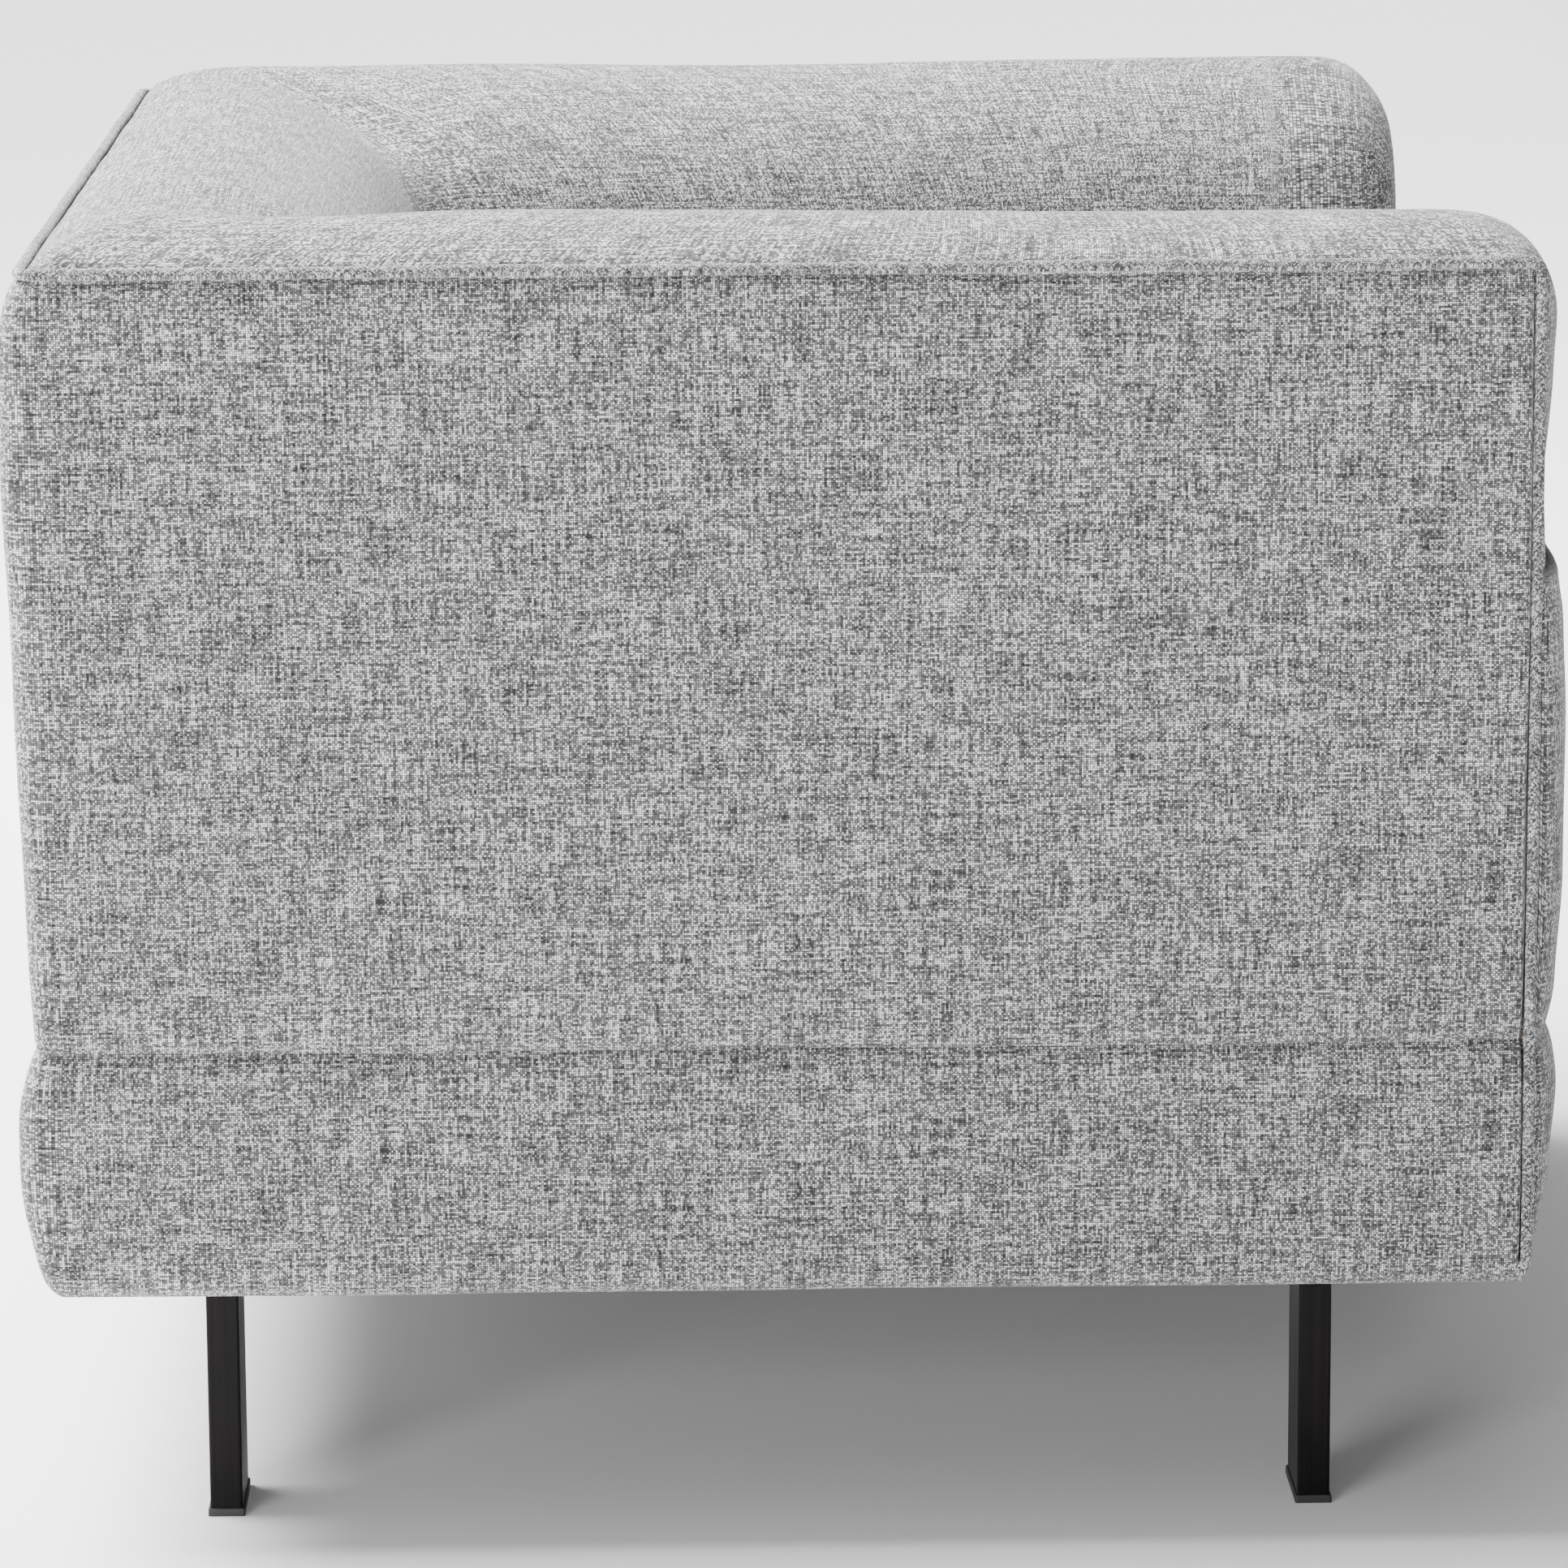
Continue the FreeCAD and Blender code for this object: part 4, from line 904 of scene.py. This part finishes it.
def speckled(name, low, high, scale, rough, depth):
    """Pressed board, felt, foam and wadding: two tones in fine specks."""
    material, tree, main = finish_named(name, Roughness=rough, IOR=1.4)
    where = coordinates(tree)
    fine = where.noise(scale, 3.0, 0.65)
    broad = where.noise(scale / 12, 2.0, 0.5)
    tone = fine * 0.7 + broad * 0.3
    feed(main, "Base Color", tone.ramp(0.3, 0.7).mix(low, high))
    feed(main, "Roughness", fine * 0.15 + (rough - 0.08))
    bump(main, fine, depth, 0.6)
    return material


def plated(name, low, high, rough):
    material, tree, main = finish_named(name, Metallic=1.0, Roughness=rough, IOR=1.5)
    where = coordinates(tree)
    cloud = where.noise(120.0, 3.0, 0.6)
    feed(main, "Base Color", cloud.ramp(0.3, 0.7).mix(low, high))
    feed(main, "Roughness", cloud * 0.25 + (rough - 0.1))
    bump(main, cloud, 0.03 * MM, 0.4)
    return material


def plain_cloth(name, low, high, pitch):
    """A simple web: fine ribs both ways."""
    material, tree, main = finish_named(name, Roughness=0.9, IOR=1.4)
    where = coordinates(tree)
    parts = where.node("ShaderNodeSeparateXYZ", i0=where)
    turn = 2 * math.pi / pitch
    across = (where.out(parts, 0) * turn).maths("SINE")
    along = ((where.out(parts, 1) + where.out(parts, 2)) * turn).maths("SINE")
    fuzz = where.noise(400.0, 2.0, 0.6)
    tone = (across * along) * 0.25 + fuzz * 0.6 + 0.2
    feed(main, "Base Color", tone.ramp(0.1, 0.9).mix(low, high))
    feed(main, "Roughness", fuzz * 0.15 + 0.8)
    bump(main, tone, 0.15 * MM, 0.5)
    return material


BOARD_TONES = (0.20, 0.12, 0.07, 1), (0.38, 0.26, 0.16, 1)
finishes = {
    "leg_steel": brushed_dark(),
    "foot_plastic": moulded_black(),
    "timber": sawn_timber(),
    "fibreboard": speckled("fibreboard", *BOARD_TONES, 900.0, 0.8, 0.08 * MM),
    "foam": speckled("foam", (0.68, 0.60, 0.40, 1), (0.86, 0.79, 0.58, 1), 1400.0, 0.95, 0.2 * MM),
    "wadding": speckled("wadding", (0.72, 0.72, 0.70, 1), (0.92, 0.92, 0.90, 1), 350.0, 0.95, 0.6 * MM),
    "felt": speckled("felt", (0.16, 0.15, 0.15, 1), (0.45, 0.42, 0.40, 1), 500.0, 0.95, 0.3 * MM),
    "zinc_hardware": plated("bright_zinc", (0.50, 0.50, 0.48, 1), (0.74, 0.74, 0.71, 1), 0.32),
    "spring_steel": plated("spring_wire", (0.05, 0.045, 0.04, 1), (0.13, 0.11, 0.10, 1), 0.42),
    "webbing": plain_cloth("webbing", (0.34, 0.26, 0.16, 1), (0.62, 0.52, 0.36, 1), 2.0 * MM),
    "dust_cloth": plain_cloth("dust_web", (0.008, 0.008, 0.008, 1), (0.035, 0.035, 0.035, 1), 1.4 * MM),
    "upholstery": cloth,
}
slots = {part["node"]: part["material_slot"] for part in frame["record"]["subparts"]}
for name, obj in nodes.items():
    obj.data.materials.clear()
    obj.data.materials.append(finishes[slots[name]])
dust.data.materials.clear()
dust.data.materials.append(finishes["dust_cloth"])
print("finishes", len(finishes))

# %% [markdown]
# The chair stands on a plain pale floor that glows a little everywhere, which lightens the shadow under
# the chair, and glows more further out, like a lit studio sweep. One big soft light is overhead and
# behind, so the tops are bright and the front is in shade, and a smaller one fills the right side. It is
# seen from its right side, from a little above, through a long lens.

# %% Floor and lights
bpy.ops.object.select_all(action="DESELECT")
bpy.ops.mesh.primitive_plane_add(size=60, location=(0, 0, 0))
floor = bpy.context.object
floor.name = "floor"
paper, tree, main = finish_named("white_paper", Roughness=0.9)
main.inputs["Base Color"].default_value = (0.80, 0.80, 0.80, 1)
place = coordinates(tree)
away = place.out(place.node("ShaderNodeVectorMath", {"operation": "LENGTH"}, i0=place), "Value")
floor_parts = place.node("ShaderNodeSeparateXYZ", i0=place)
behind = place.out(floor_parts, 1).ramp(-2.4, -1.0)
# The floor's glow: a constant part lightens the shadow under the chair, and it rises further out.
shine = away.ramp(0.5, 2.2) * behind * 1.9 + 0.25
feed(main, "Emission Color", shine.ramp(0.0, 2.0).mix((0, 0, 0, 1), (1, 1, 1, 1)))
main.inputs["Emission Strength"].default_value = 2.0
floor.data.materials.append(paper)

world = bpy.data.worlds.new("studio")
world.use_nodes = True
sky = coordinates(world.node_tree, "Generated")
facing = sky.node("ShaderNodeSeparateXYZ", i0=sky)
sideways = sky.out(facing, 1).ramp(-0.7, 0.3)
overhead = sky.out(facing, 2).ramp(0.25, 0.95)
toward_back = sky.out(facing, 1).ramp(-0.5, 0.4)
glow = sideways * 0.45 + 0.02 + overhead * toward_back * 0.9
world.node_tree.links.new(glow.socket, world.node_tree.nodes["Background"].inputs["Strength"])
world.node_tree.nodes["Background"].inputs["Color"].default_value = (1, 1, 1, 1)
bpy.context.scene.world = world


def soft_light(name, place, aim, size, watts):
    light = bpy.data.lights.new(name, "AREA")
    light.energy = watts
    light.size = size
    obj = bpy.data.objects.new(name, light)
    bpy.context.scene.collection.objects.link(obj)
    obj.location = place
    obj.rotation_euler = (Vector(aim) - Vector(place)).to_track_quat("-Z", "Y").to_euler()
    return obj


soft_light("overhead", (0.5, 1.6, 3.0), (0, 0, 0.3), 2.4, 720)
soft_light("side_fill", (-3.4, 1.8, 0.8), (0, 0, 0.3), 1.4, 105)
print("lights", len(bpy.data.lights))

# %% Camera
yaw, pitch, roll_turn = math.radians(-1.25), math.radians(11.503), math.radians(-0.3292)
ahead = Vector((math.cos(pitch) * math.cos(yaw), math.cos(pitch) * math.sin(yaw), -math.sin(pitch)))
right = Vector((math.sin(yaw), -math.cos(yaw), 0))
up = right.cross(ahead)
right_turned = right * math.cos(roll_turn) + up * math.sin(roll_turn)
up_turned = up * math.cos(roll_turn) - right * math.sin(roll_turn)
camera_data = bpy.data.cameras.new("camera")
camera_data.lens = 156.86
camera_data.sensor_width = 36
camera = bpy.data.objects.new("camera", camera_data)
bpy.context.scene.collection.objects.link(camera)
turned = Matrix((right_turned, up_turned, -ahead)).transposed()
camera.matrix_world = Matrix.Translation((-3.5832, 0.0754, 1.0205)) @ turned.to_4x4()
bpy.context.scene.camera = camera
print("camera at", tuple(round(v, 3) for v in camera.location))
